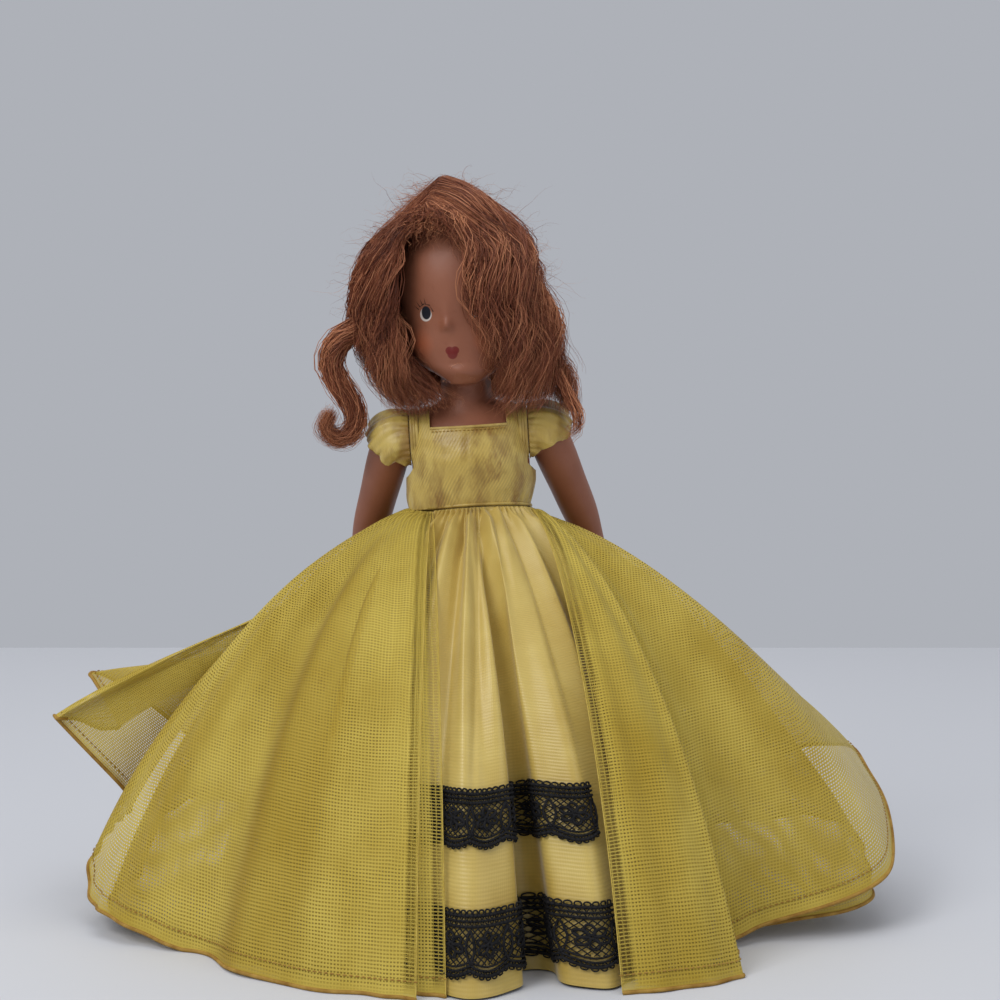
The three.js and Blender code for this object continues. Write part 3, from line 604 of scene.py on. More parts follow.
lumps = lowerLofts()
lumps.append(leaned(ovalLoft(torsoRows, count=40, columns=72)))
lumps.append(leaned(turned(ovalLoft(headRows, count=60, columns=90), headTurn)))
for side in (-1, 1):
    ends = [side * x for x in bodyLook["bossAcross"]]
    boss = [roundRing(x, bodyLook["bossRadius"], side * around(40), shoulderRise) for x in ends]
    lumps.append(leaned(np.array(boss)))
body = makePiece("bodyCasting", makeMesh("bodyCasting", *joinedLofts(lumps)), facePaint)
remeshed(body, bodyLook["voxel"], bodyLook["smoothing"])
bodyPlaces = np.empty(len(body.data.vertices) * 3)
body.data.vertices.foreach_get("co", bodyPlaces)
local = turned(unleaned(bodyPlaces.reshape(-1, 3) / mm), -headTurn)
faceFront = smooth(-2.0, -5.0, local[:, 1]) * smooth(20.5, 23.5, local[:, 2])
relief = faceRelief(local[:, 0], local[:, 2])
jaw = bump(local[:, 2], 24.2, 2.8) * smooth(0, -6, local[:, 1])
local[:, 0] += 1.2 * jaw
local[:, 1] -= relief * faceFront
local[:, 2] += 1.1 * jaw
body.data.vertices.foreach_set("co", (leaned(turned(local, headTurn)) * mm).ravel())
setValues(body.data, {"faceAcross": local[:, 0], "faceUp": local[:, 2], "faceFront": faceFront})
body.data.update()
body.data.shade_smooth()
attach(body, "doll")
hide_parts("body_casting")
print("body", len(body.data.polygons))

# Arms: tapering limb, palm, fingers and thumb, joined by a remesh
armLook = dict(radius=4.0, splay=math.radians(16), start=3.6, seat=4.3, seatDepth=2.4, voxel=0.3, smoothing=4)
armPath = [(-2, 0), (4, 0), (13, 0), (21, 0), (29, -0.8), (32.4, -1.2), (34.2, -1.5)]  # down the arm, forward
armShares = [0.25, 0.85, 1.05, 0.98, 0.9, 0.62, 0.64, 0.42]  # of the arm's radius, from the shoulder down
fingerLook = dict(
    count=4, first=-3.3, spacing=1.15, tip=37.9, longest=1.3, shorter=0.45,
    radii=[0.8, 0.78, 0.34], thumbRadii=[0.9, 0.85, 0.4],
)


def armCentre(down, forward=0.0):
    return np.array([armLook["start"] + down * math.tan(armLook["splay"]), forward, -down])


def limbRings(path, radii, count, sides, flat=0.92):
    t = np.linspace(0, 1, count)
    line = spline(path, t)
    radius = spline(np.asarray(radii, float)[:, None], t)[:, 0]
    along = unit(np.gradient(line, axis=0))
    across = unit(np.array([0.0, 1.0, 0.0]) - along * along[:, 1:2])
    other = np.cross(along, across)
    turn = around(sides)[:, None]
    ring = across[:, None] * np.cos(turn) + other[:, None] * np.sin(turn) * flat
    return line[:, None] + ring * radius[:, None, None]


def armShape():
    r = armLook["radius"]
    path = [np.array([armLook["start"] - 0.8, 0, r])]
    path += [armCentre(down, forward) for down, forward in armPath]
    lumps = [limbRings(path, [share * r for share in armShares], count=60, sides=40)]
    for k in range(fingerLook["count"]):
        y = fingerLook["first"] + fingerLook["spacing"] * k
        tip = fingerLook["tip"] - fingerLook["shorter"] * abs(k - fingerLook["longest"])
        finger = [armCentre(32.0, y), armCentre(34.6, y - 0.1), armCentre(tip, y - 0.4)]
        lumps.append(limbRings(finger, fingerLook["radii"], count=14, sides=14, flat=0.95))
    thumb = [armCentre(30.0, -2.0), armCentre(31.6, -3.9), armCentre(34.0, -4.7)]
    lumps.append(limbRings(thumb, fingerLook["thumbRadii"], count=14, sides=14, flat=0.95))
    seat = [roundRing(x, armLook["seat"], around(40)) for x in (0.0, armLook["seatDepth"])]
    lumps.append(np.array(seat))
    return lumps


def shoulderPlace(points, side):  # from the hanging arm to the part's frame
    x, y, z = np.moveaxis(np.asarray(points, float), -1, 0)
    c, s = math.cos(armRest), math.sin(armRest)
    placed = np.stack([x + armFace, y * c - z * s, y * s + z * c + shoulderRise], -1)
    placed[..., 0] *= side
    return leaned(placed)


for name, side in (("left", -1), ("right", 1)):
    points, faces = joinedLofts(armShape())
    points[:, 0] = np.maximum(points[:, 0], 0.0)
    faces = faces if side > 0 else faces[:, ::-1]
    arm = makePiece(name + "Arm", makeMesh(name + "Arm", shoulderPlace(points, side), faces), armBisque)
    remeshed(arm, armLook["voxel"], armLook["smoothing"]).data.shade_smooth()
    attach(arm, name + "_arm")
    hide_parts(name + "_arm")
print("arms ready")

# Waist seam and skirt meridians, as in the part's source
waistLook = dict(half=10.1, depth=8.5, dip=24.0)


def seamPoint(turn, out, drop):
    x = (waistLook["half"] + out) * np.sin(turn)
    y = -(waistLook["depth"] + out) * np.cos(turn)
    return leaned(np.stack([x, y, -y * math.tan(seamTilt) - drop], -1))


def meridian(start, end, dip, t):  # from the waist to the hem, sagging where it dips
    fall = start[..., 2] - end[..., 2]
    sag = dip * waistLook["dip"]
    first = start + (end - start) * 0.27
    first[..., 2] = start[..., 2] - fall * 0.03 - sag
    second = start + (end - start) * 0.72
    second[..., 2] = start[..., 2] - fall * 0.37 - sag * 0.6
    t = t[..., None]
    s = 1 - t
    return start * s**3 + 3 * first * s**2 * t + 3 * second * s * t**2 + end * t**3


# Underskirt: gathered at the waist, falling in folds, with a deep recess between the front panels
satinCut = dict(
    columns=500, rows=150, reach=49.0, fold=2.2, folds=13, drop=0.5, ease=0.5, dip=0.2, density=0.45,
    floor=0.25, hem=0.4, flat=(52, 92),
    panels=[(5, 1, 9), (5.5, 26, 5), (-7.0, 14, 6)],  # reach, middle, width in degrees
)


def satinTurn(even):  # columns lie closer together in front
    return even - satinCut["density"] * np.sin(even)


def satinSurface(even, t):
    turn = satinTurn(even)
    d = np.degrees(turn)
    panels = sum(reach * bump(d, middle, width) for reach, middle, width in satinCut["panels"])
    fold = satinCut["fold"] * np.cos(satinCut["folds"] * even) * (1 - bump(d, 12, 22)) + panels
    reach = satinCut["reach"] + fold * t**0.4
    hem = np.stack([reach * np.sin(turn), -reach * np.cos(turn), np.full_like(reach, satinCut["hem"])], -1)
    dip = satinCut["dip"] + 0.95 * bump(np.abs(d), 140, 38)
    return meridian(seamPoint(turn, satinCut["ease"], satinCut["drop"]), hem, dip, t)


def satinRelief(even, t):  # gathers and small folds that stand off the main surface
    turn = satinTurn(even)
    d = np.degrees(turn)
    phase = 1.6 * np.sin(turn * 5 + 1) + 0.9 * np.sin(turn * 11)
    gathers = 0.75 * creased(66 * turn + phase * 3) * np.exp(-t / 0.06) * smooth(0, 0.015, t)
    pleats = 1.5 * creased(21 * turn + phase) * smooth(0.02, 0.12, t) * (1 - smooth(0.4, 0.9, t))
    fan = 0.75 * creased(30 * turn * (1 + 0.6 * t)) * bump(d, 4, 16)
    fan = fan * smooth(0.02, 0.1, t) * (1 - smooth(0.3, 0.6, t))
    tuck = 0.9 * bump(d + 24 * (t - 0.08), -4, 3) * bump(t, 0.09, 0.05)
    tuck = tuck - 0.8 * bump(d + 20 * t, -3.5, 1.5) * bump(t, 0.14, 0.09)
    soft = 0.3 * ripple(turn * 9, t * 7, 3)
    crease = -0.6 * bump(d - 4 * np.sin(t * 3), -3, 1.2) * smooth(0.1, 0.3, t) * (1 - smooth(0.6, 0.9, t))
    middle = 7 + 8 * t
    recess = -5.0 * bump(d, middle, 3.0) + 1.3 * bump(d, middle - 5.4, 2.2) + 1.2 * bump(d, middle + 5.4, 2.4)
    return gathers + pleats + fan + tuck + soft * smooth(0, 0.2, t) + crease + recess * smooth(0.04, 0.35, t)


def satinPoint(even, t, out=0.0):  # on the finished cloth, or lifted off it
    step = 0.002
    across = satinSurface(even + step, t) - satinSurface(even - step, t)
    down = satinSurface(even, np.minimum(t + step, 1)) - satinSurface(even, np.maximum(t - step, 0))
    normal = unit(np.cross(down, across))
    place = satinSurface(even, t) + normal * (satinRelief(even, t) + out)[..., None]
    place[..., 2] = np.maximum(place[..., 2], satinCut["floor"])
    return place


evenTurns = np.linspace(-math.pi, math.pi, satinCut["columns"], endpoint=False)
even, t = np.meshgrid(evenTurns, np.linspace(0, 1, satinCut["rows"]))
satinUV = np.stack([satinTurn(even), t], -1) * satinCut["flat"]
faces = gridFaces(satinCut["rows"], satinCut["columns"], True)[:, ::-1]
underskirt = makePiece("underskirt", makeMesh("underskirt", satinPoint(even, t), faces, satinUV), skirtSatin)
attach(underskirt, "doll")
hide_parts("underskirt")
print("underskirt ready", clothArea(underskirt))


# Geometry Nodes: lines of points become round threads of their own thickness
def geometryGroup(name, inputs):
    group = bpy.data.node_groups.new(name, "GeometryNodeTree")
    group.interface.new_socket("Geometry", in_out="INPUT", socket_type="NodeSocketGeometry")
    for label, kind in inputs:
        group.interface.new_socket(label, in_out="INPUT", socket_type="NodeSocket" + kind)
    group.interface.new_socket("Geometry", in_out="OUTPUT", socket_type="NodeSocketGeometry")
    return group, wire(group, "NodeGroupInput").outputs, wire(group, "NodeGroupOutput")


def finished(group, made, material, out):  # real geometry with its material, to the group's output
    real = wire(group, "GeometryNodeRealizeInstances", {0: made.outputs[0]})
    painted = wire(group, "GeometryNodeSetMaterial", {0: real.outputs[0], "Material": material})
    group.links.new(painted.outputs[0], out.inputs[0])


threadTree, threadIn, threadOut = geometryGroup("threadTubes", [("Sides", "Int"), ("Material", "Material")])
threadLine = wire(threadTree, "GeometryNodeMeshToCurve", {0: threadIn["Geometry"]})
threadSize = wire(threadTree, "GeometryNodeInputNamedAttribute", {"Name": "thick"}, data_type="FLOAT")
threadRing = wire(
    threadTree, "GeometryNodeCurvePrimitiveCircle", {"Resolution": threadIn["Sides"], "Radius": 1.0}
)
threadTube = wire(
    threadTree,
    "GeometryNodeCurveToMesh",
    {
        "Curve": threadLine.outputs[0],
        "Profile Curve": threadRing.outputs[0],
        "Scale": threadSize.outputs[0],
        "Fill Caps": True,
    },
)
finished(threadTree, threadTube, threadIn["Material"], threadOut)

# Geometry Nodes: a row of sewn stitches along a line
stitchTree, stitchIn, stitchOut = geometryGroup(
    "stitchRow", [("Spacing", "Float"), ("Length", "Float"), ("Radius", "Float"), ("Material", "Material")]
)
stitchLine = wire(stitchTree, "GeometryNodeMeshToCurve", {0: stitchIn["Geometry"]})
stitchEven = wire(
    stitchTree,
    "GeometryNodeResampleCurve",
    {"Curve": stitchLine.outputs[0], "Length": stitchIn["Spacing"]},
    mode="LENGTH",
)
stitchForm = wire(stitchTree, "GeometryNodeMeshUVSphere", {"Segments": 6, "Rings": 5, "Radius": 1.0})
stitchAlong = wire(stitchTree, "GeometryNodeInputTangent")
stitchWay = wire(
    stitchTree, "FunctionNodeAlignRotationToVector", {"Vector": stitchAlong.outputs[0]}, axis="Z"
)
stitchSize = wire(
    stitchTree, "ShaderNodeCombineXYZ", {0: stitchIn["Radius"], 1: stitchIn["Radius"], 2: stitchIn["Length"]}
)
stitchSet = wire(
    stitchTree,
    "GeometryNodeInstanceOnPoints",
    {
        "Points": stitchEven.outputs[0],
        "Instance": stitchForm.outputs[0],
        "Rotation": stitchWay.outputs[0],
        "Scale": stitchSize.outputs[0],
    },
)
finished(stitchTree, stitchSet, stitchIn["Material"], stitchOut)


def lineMesh(name, lines, **values):
    counts = np.array([len(line) for line in lines])
    points = np.concatenate(lines) * mm
    mesh = bpy.data.meshes.new(name)
    mesh.vertices.add(len(points))
    mesh.vertices.foreach_set("co", points.ravel())
    first = np.delete(np.arange(len(points)), np.cumsum(counts) - 1)
    mesh.edges.add(len(first))
    mesh.edges.foreach_set("vertices", np.stack([first, first + 1], -1).ravel())
    setValues(mesh, values)
    mesh.update()
    return mesh


def grown(name, mesh, group, settings, material):  # runs a Geometry Nodes group and keeps the plain mesh
    piece = bpy.data.objects.new(name, mesh)
    scene.collection.objects.link(piece)
    modifier = piece.modifiers.new(group.name, "NODES")
    modifier.node_group = group
    settings = dict(settings, Material=material)
    for item in group.interface.items_tree:
        if item.in_out == "INPUT" and item.name in settings:
            modifier[item.identifier] = settings[item.name]
    applied(piece).data.shade_smooth()
    return piece


def threads(name, lines, thick, material, sides=3, **values):
    thick = np.concatenate([np.broadcast_to(r, len(line)) for r, line in zip(thick, lines)]) * mm
    return grown(name, lineMesh(name, lines, thick=thick, **values), threadTree, {"Sides": sides}, material)


def stitches(name, lines, spacing, length, radius, material):
    settings = {"Spacing": spacing * mm, "Length": length / 2 * mm, "Radius": radius * mm}
    return grown(name, lineMesh(name, lines), stitchTree, settings, material)


# Thread: twisted, one colour with small changes along it
def threadMaterial(name, colour, dark, rough):
    material, tree, shader = newMaterial(name)
    spot = objectSpot(tree)
    mottle = noise(tree, spot, 420.0, 4.0)
    tinted = mixColour(tree, ramp(tree, mottle, (0.35, 0.0), (0.7, 1.0)), colour, dark)
    uneven = plus(tree, rough, times(tree, mottle, 0.15))
    fill(tree, shader, {"Base Color": tinted, "Roughness": uneven, "Specular IOR Level": 0.2})
    bumped(tree, shader, noise(tree, spot, 2600.0, 2.0), strength=0.35, distance=0.00008)
    return material


laceThread = threadMaterial("laceThread", (0.006, 0.0058, 0.0068, 1), (0.013, 0.0125, 0.014, 1), 0.66)
hemThread = threadMaterial("hemThread", (0.40, 0.24, 0.05, 1), (0.24, 0.12, 0.02, 1), 0.6)
seamThread = threadMaterial("seamThread", (0.55, 0.40, 0.13, 1), (0.36, 0.22, 0.05, 1), 0.55)
netThread = threadMaterial("netThread", (0.60, 0.445, 0.1, 1), (0.46, 0.32, 0.05, 1), 0.6)

# Lace bands: cords, a diamond ground, flowers and picots, all of thread laid on the satin
laceLook = dict(
    across=(-0.4189, 0.8378), width=40.0, height=11.0, repeat=6.6, lift=0.55, mesh=1.05, zigzag=0.45,
)
laceBands = {"upper": (0.735, 0.815), "lower": (0.90, 0.978)}


def laceDrawing():  # lines in millimetres along and down the band, with each thread's radius
    w, h, p = laceLook["width"], laceLook["height"], laceLook["repeat"]
    along = np.linspace(0, w, 320)
    scallop = 0.87 * h + 0.1 * h * np.abs(np.sin(math.pi * along / p))
    lines, radii = [], []

    def draw(x, y, radius):
        lines.append(np.stack([x, y], -1))
        radii.append(radius)

    for share, radius in ((0.03, 0.3), (0.115, 0.24), (0.2, 0.3)):
        draw(along, np.full_like(along, share * h), radius)
    for lift, radius in ((0.0, 0.34), (-0.075 * h, 0.24), (-0.14 * h, 0.2)):
        draw(along, scallop + lift, radius)
    zigzag = np.arange(0, w, laceLook["zigzag"])
    sway = (-1.0) ** np.arange(len(zigzag))
    draw(zigzag, (0.07 + 0.04 * sway) * h, 0.17)
    draw(zigzag, (0.155 + 0.04 * sway) * h, 0.17)
    draw(zigzag, np.interp(zigzag, along, scallop) - 0.04 * h + 0.035 * h * sway, 0.17)
    for start in np.arange(-h, w, laceLook["mesh"]):  # diamond ground
        for slope in (1, -1):
            y = np.linspace(0.2 * h, 0.8 * h, 14)
            x = start + (y - 0.2 * h if slope > 0 else 0.8 * h - y) * 0.9
            inside = (x > 0) & (x < w)
            if inside.sum() > 1:
                draw(x[inside], y[inside], 0.13)
    turn = np.linspace(0, fullTurn, 15)
    for middle in np.arange(p / 2, w, p):
        for petal in range(6):  # flower
            a = petal * math.pi / 3 + 0.4
            r, q = 1.25 + 0.95 * np.cos(turn), 0.62 * np.sin(turn)
            x = middle + r * math.cos(a) - q * math.sin(a)
            draw(x, 0.5 * h + r * math.sin(a) + q * math.cos(a), 0.27)
        draw(middle + 0.35 * np.cos(turn), 0.5 * h + 0.35 * np.sin(turn), 0.28)
        for side in (-1, 1):  # leaf between two flowers
            y = np.linspace(0.26 * h, 0.78 * h, 12)
            draw(middle + p / 2 + side * 0.75 * np.sin((y / h - 0.26) / 0.52 * math.pi), y, 0.25)
    for x in np.arange(0.5, w, laceLook["mesh"]):  # picots
        draw(x + 0.42 * np.cos(turn), -0.02 * h + 0.42 * np.sin(turn), 0.17)
        low = np.interp(x, along, scallop) + 0.3
        draw(x + 0.36 * np.cos(turn), low + 0.36 * np.sin(turn), 0.15)
    return lines, radii


laceLines, laceRadii = laceDrawing()
laceLeft, laceRight = laceLook["across"]
for name, (top, bottom) in laceBands.items():
    placed = []
    for number, line in enumerate(laceLines):
        x = np.clip(line[:, 0] / laceLook["width"], 0, 1)
        lift = laceLook["lift"] + 0.12 * np.sin(line[:, 0] * 9 + number)
        drop = top + (bottom - top) * line[:, 1] / laceLook["height"]
        placed.append(satinPoint(laceLeft + (laceRight - laceLeft) * x, np.clip(drop, 0, 0.995), lift))
    lace = threads(name + "Lace", placed, laceRadii, laceThread, sides=5)
    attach(lace, "doll")
    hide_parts(name + "_lace")

# Net shader group: open weave of warp threads down the cloth and thicker weft threads across it
netGroup, netIn, netOut = newGroup(
    "openWeave", ("Across", "Down", "Warp Pitch", "Weft Pitch", "Warp", "Weft"), ("Mask", "Ridge")
)


def threadBand(place, pitch, share):  # 1 in the middle of a thread, 0 outside it
    wave = calc(netGroup, "FRACT", over(netGroup, place, pitch))
    away = times(netGroup, calc(netGroup, "ABSOLUTE", minus(netGroup, wave, 0.5)), 2.0)
    return clamped(netGroup, over(netGroup, minus(netGroup, share, away), 0.55))


warpBand = threadBand(netIn["Across"], netIn["Warp Pitch"], netIn["Warp"])
weftBand = threadBand(netIn["Down"], netIn["Weft Pitch"], netIn["Weft"])
netGroup.links.new(calc(netGroup, "MAXIMUM", warpBand, weftBand), netOut["Mask"])
netGroup.links.new(plus(netGroup, warpBand, weftBand), netOut["Ridge"])

netLook = dict(
    warpPitch=0.58, weftPitch=0.5, warp=0.8, weft=0.93, ladder=0.34, opened=0.4,
    base=(0.56, 0.425, 0.08, 1), dark=(0.42, 0.295, 0.038, 1), stain=(0.25, 0.13, 0.03, 1),
    # deep: the colour of the painted shade in the groove and between the folds
    deep=(0.33, 0.205, 0.012, 1),
    even={"Roughness": 0.65, "Specular IOR Level": 0.15, "Sheen Weight": 0.06},
)


def netMaterial(name):
    material, tree, shader = newMaterial(name)
    spot = objectSpot(tree)
    cloth = clothSpot(tree)
    apart = wire(tree, "ShaderNodeSeparateXYZ", {0: cloth})
    keys = ("density", "hemShare", "selvage", "foldShade")
    dense, band, ladder, shade = [pointValue(tree, key) for key in keys]
    wander = noise(tree, cloth, 0.12, 2.0)
    streak = noise(tree, stretched(tree, cloth, (1.0, 0.02, 1)), 0.9, 2.0)
    uneven = times(tree, minus(tree, streak, 0.5), 0.35)
    opened = minus(tree, dense, times(tree, ladder, netLook["opened"]))
    weave = wire(
        tree,
        "ShaderNodeGroup",
        {
            "Across": plus(tree, apart.outputs[0], times(tree, wander, 0.4)),
            "Down": plus(tree, apart.outputs[1], times(tree, wander, 0.6)),
            "Warp Pitch": plus(tree, netLook["warpPitch"], times(tree, ladder, netLook["ladder"])),
            "Weft Pitch": netLook["weftPitch"],
            "Warp": plus(tree, plus(tree, netLook["warp"], uneven), opened),
            "Weft": plus(tree, netLook["weft"], opened),
        },
        node_tree=netGroup,
    )
    tone = ramp(tree, noise(tree, spot, 55.0, 4.0), (0.35, 0.0), (0.72, 1.0))
    colour = mixColour(tree, tone, netLook["base"], netLook["dark"])
    blot = ramp(tree, noise(tree, spot, 70.0, 6.0, 0.7), (0.66, 0.0), (0.8, 1.0))
    colour = mixColour(tree, times(tree, blot, 0.6), colour, netLook["stain"])
    # painted shade: the colour darkens towards deep in the groove and between the folds
    colour = mixColour(tree, shade, colour, netLook["deep"])
    fill(tree, shader, {"Base Color": colour, "Alpha": calc(tree, "MAXIMUM", weave.outputs["Mask"], band)})
    fill(tree, shader, netLook["even"])
    bumped(tree, shader, weave.outputs["Ridge"], strength=0.2, distance=0.00012)
    return material


netCloth = netMaterial("netCloth")

# Net overskirt, two layers: waist share, the hem's place, the dip and the density of the weave,
# from the left front edge round the back to the right front edge
netCut = dict(
    columns=560, rows=100, waist=(-42.0, -290.0), drop=0.85, out=1.6, liningOut=1.15, fold=1.6, folds=11,
    floor=0.35, hem=0.4, hemCord=0.36, edgeCord=0.1, stitchLift=0.15, selvage=(2.0, 2.2),
)
netPlaces = [
    (0.0, -9.5, -55.5, 0.4, 0, 0.1), (0.07, -29.5, -47.5, 0.4, 0, 0.16), (0.14, -50, -29, 0.4, 0, 0.14),
    (0.21, -67.5, -15.5, 4.5, 0, 0.08), (0.26, -73.5, -3.5, 6, 0, -0.1), (0.29, -70.5, 5, 17, 0.3, -0.14),
    (0.315, -68, 10.5, 22, 0.5, -0.2), (0.34, -81, 6, 38, 0.7, -0.16), (0.37, -70.5, 18, 33, 0.9, -0.16),
    (0.4, -76, 26, 43.5, 1.1, -0.16), (0.5, -44, 50, 16, 1, 0), (0.57, 0, 54.7, 0.4, 0.3, 0.1),
    (0.64, 41, 52, 12, 1, 0), (0.715, 75.5, 34, 27, 0.7, -0.2), (0.79, 78.8, -8, 12, 0, -0.1),
    (0.86, 52, -20, 3, 0, 0.14), (0.9, 45, -31, 1.5, 0, 0.16), (0.94, 47.5, -42, 0.4, 0, 0.16),
    (1.0, 26, -51.5, 0.4, 0, 0.1),
]
liningPlaces = [
    (0.0, -4.5, -53.6, 0.4, 0, 0.16), (0.08, -28, -45.5, 0.4, 0, 0.2), (0.16, -50, -25, 0.4, 0, 0.2),
    (0.23, -68, -9, 3, 0, 0.1), (0.3, -65, 8, 9, 0.3, 0.05), (0.4, -58, 28, 18, 1.1, 0),
    (0.5, -38, 47.5, 8, 1, 0), (0.57, 0, 52, 0.4, 0.3, 0.1), (0.64, 36, 49, 6, 1, 0),
    (0.72, 70, 25, 14, 0.7, 0), (0.79, 75, -8, 6, 0, 0.12), (0.86, 50, -18, 2, 0, 0.18),
    (0.94, 45, -38.5, 0.4, 0, 0.2), (1.0, 29, -46, 0.4, 0, 0.2),
]


def netSurface(along, t, placed, out):
    hem = placed[..., 1:4].copy()
    hem[..., 2] = np.maximum(hem[..., 2], netCut["hem"])
    left, right = netCut["waist"]
    turn = np.radians(left + (right - left) * placed[..., 0])
    drop = netCut["drop"] + 0.3 * (netCut["out"] - out) - 1.5 * bump(along, 0.13, 0.09)
    return meridian(seamPoint(turn, out, drop), hem, np.maximum(placed[..., 4], 0), t)


def netRelief(along, t, seed):  # folds, gathers and the groove near the left front edge, towards the doll
    wave = fullTurn * along
    drift = 0.5 * np.sin(wave * 3 + seed) + 0.35 * np.sin(wave * 7)
    folds = netCut["fold"] * (0.5 + 0.5 * np.sin(wave * netCut["folds"])) * t**1.2
    small = 0.35 * np.sin(wave * 37 + drift * 6 + 2 * t) * smooth(0.05, 0.5, t)
    gathers = 0.4 * np.sin(wave * 64 + drift * 3) * np.exp(-t / 0.12) * smooth(0, 0.03, t)
    soft = 0.35 * ripple(along * 40, t * 6, 11 + seed) * smooth(0.1, 0.5, t)
    edge = smooth(0, 0.02, along) * smooth(1, 0.98, along)
    groove = (1.2 * bump(along, 0.108, 0.014) - 1.8 * bump(along, 0.086, 0.013)) * smooth(0.15, 0.5, t)
    return folds + (small + soft) * edge + gathers + groove


def netShade(along, t):  # painted shade: darker in the groove and between the folds, where shade falls
    groove = 0.75 * bump(along, 0.092, 0.011) * smooth(0.12, 0.4, t)
    between = 0.4 * smooth(0.4, 1.0, -np.sin(fullTurn * along * netCut["folds"])) * smooth(0.3, 0.8, t)
    return groove + between


def netSheet(name, places, out, seed):
    along, t = np.meshgrid(np.linspace(0, 1, netCut["columns"]), np.linspace(0, 1, netCut["rows"]))
    placed = spline(places, along)
    grid = netSurface(along, t, placed, out)
    grid = grid + surfaceNormals(grid) * netRelief(along, t, seed)[..., None]
    grid[..., 2] = np.maximum(grid[..., 2], netCut["floor"])
    steps = np.diff(grid, axis=1, prepend=grid[:, :1])
    width = np.linalg.norm(steps * [1, 0.5, 1], axis=-1)  # looser where the cloth turns back
    run = np.cumsum(width, axis=1)
    run = np.minimum(run, run[:, -1:] - run)  # from the nearer front edge, so the seam is at the back
    gathered = 1 - np.clip(width / (width[-1:] + 1e-6), 0, 1)
    drops = np.linalg.norm(np.diff(grid, axis=0, prepend=grid[:1]), axis=-1)
    length = np.cumsum(drops.mean(1))[:, None]  # mean length of the cloth down to each row
    uv = np.stack([run, np.broadcast_to(length, t.shape)], -1)
    values = dict(
        density=placed[..., 5] + 0.12 * gathered**1.5,
        selvage=1 - smooth(*netCut["selvage"], run),
        hemShare=smooth(0.988, 0.991, t),
        # painted shade in the groove and between the folds
        foldShade=netShade(along, t),
    )
    mesh = makeMesh(name, grid, gridFaces(netCut["rows"], netCut["columns"]), uv, **values)
    return makePiece(name, mesh, netCloth), grid


net, netGrid = netSheet("netOverskirt", netPlaces, netCut["out"], 1)
lining, liningGrid = netSheet("netLining", liningPlaces, netCut["liningOut"], 4)
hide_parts("net_overskirt")
netGrids = (netGrid, liningGrid)
hemEdges = [grid[-1] for grid in netGrids]
hems = threads("netHems", hemEdges, [netCut["hemCord"]] * len(hemEdges), hemThread, sides=7)
hemRows = [grid[-3] - surfaceNormals(grid)[-3] * netCut["stitchLift"] for grid in netGrids]
hemStitches = stitches("hemStitches", hemRows, spacing=1.1, length=0.8, radius=0.13, material=hemThread)
frontEdges = [grid[:, column] for grid in netGrids for column in (0, -1)]
ladder = threads("netLadder", frontEdges, [netCut["edgeCord"]] * len(frontEdges), netThread, sides=4)
for piece in (net, lining, hems, hemStitches, ladder):
    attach(piece, "doll")
print("net ready", clothArea(net), clothArea(lining))

# Bodice: a fitted shell cut at the seam, the square neck and the armholes
bodiceCut = dict(
    inner=0.3, outer=1.05, neckHalf=7.1, strapRise=5.0, armhole=7.4, shoulderHole=4.9, armFace=10.6,
    room=60.0, rise=(-4.6, 21.0, 78), innerRise=(-6, 24, 90), columns=220, girth=11, seam=0.15,
)


def boxMesh(size, centre, tilt=0.0):
    halves = (-0.5, 0.5)
    corner = np.array([(x, y, z) for z in halves for y in halves for x in halves]) * size + centre
    y, z = corner[:, 1].copy(), corner[:, 2].copy()
    corner[:, 1] = y * math.cos(tilt) - z * math.sin(tilt)
    corner[:, 2] = y * math.sin(tilt) + z * math.cos(tilt)
    return corner, [[0, 2, 3, 1], [4, 5, 7, 6], [0, 1, 5, 4], [2, 6, 7, 3], [0, 4, 6, 2], [1, 3, 7, 5]]


def rodMesh(radius, start, end, height, sides=96):
    return loftMesh([roundRing(x, radius, -around(sides), height) for x in (start, end)])


def cutAway(piece, cutters):
    for points, faces in cutters:
        tool = makePiece("cutter", makeMesh("cutter", leaned(points), faces), bodiceSatin)
        cut = piece.modifiers.new("cut", "BOOLEAN")
        cut.operation = "DIFFERENCE"
        cut.solver = "MANIFOLD"
        cut.object = tool
        applied(piece)
        bpy.data.objects.remove(tool)


z = np.linspace(*bodiceCut["rise"])[:, None]
turn = around(bodiceCut["columns"])[None]
pucker = 0.16 * ripple(turn * 5, z * 0.5, 5) + 0.12 * np.cos(turn * 36) * smooth(4.5, 1.0, z)
pulled = 1.9 * smooth(9.0, 0.0, z) * bump(turn, math.radians(292), 0.5)
rings = ovalPoint(torsoRows, turn, z + 0 * turn, bodiceCut["outer"] + pucker + pulled)
points, faces = loftMesh(leaned(rings))
flat = np.stack([turn * bodiceCut["girth"] + 0 * z, z + 0 * turn], -1).reshape(-1, 2)
flat = np.concatenate([flat, np.zeros((2, 2))])  # the two end points are cut away
bodice = makePiece("bodice", makeMesh("bodice", points, faces, flat), bodiceSatin)
room = bodiceCut["room"]
innerRise = np.linspace(*bodiceCut["innerRise"])[:, None] + 0 * turn
inner = ovalPoint(torsoRows, turn, innerRise, bodiceCut["inner"])
cutters = [
    boxMesh(room, (0, 0, -room / 2 - bodiceCut["seam"]), -seamTilt),
    boxMesh((2 * bodiceCut["neckHalf"], room, room), (0, 0, necklineRise + room / 2)),
    boxMesh(room, (0, 0, necklineRise + bodiceCut["strapRise"] + room / 2)),
    rodMesh(bodiceCut["shoulderHole"], -room / 2, room / 2, shoulderRise),
    rodMesh(bodiceCut["armhole"], -room / 2, -bodiceCut["armFace"], shoulderRise),
    rodMesh(bodiceCut["armhole"], bodiceCut["armFace"], room / 2, shoulderRise),
    loftMesh(inner),
]
cutAway(bodice, cutters)
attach(bodice, "doll")
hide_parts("bodice")


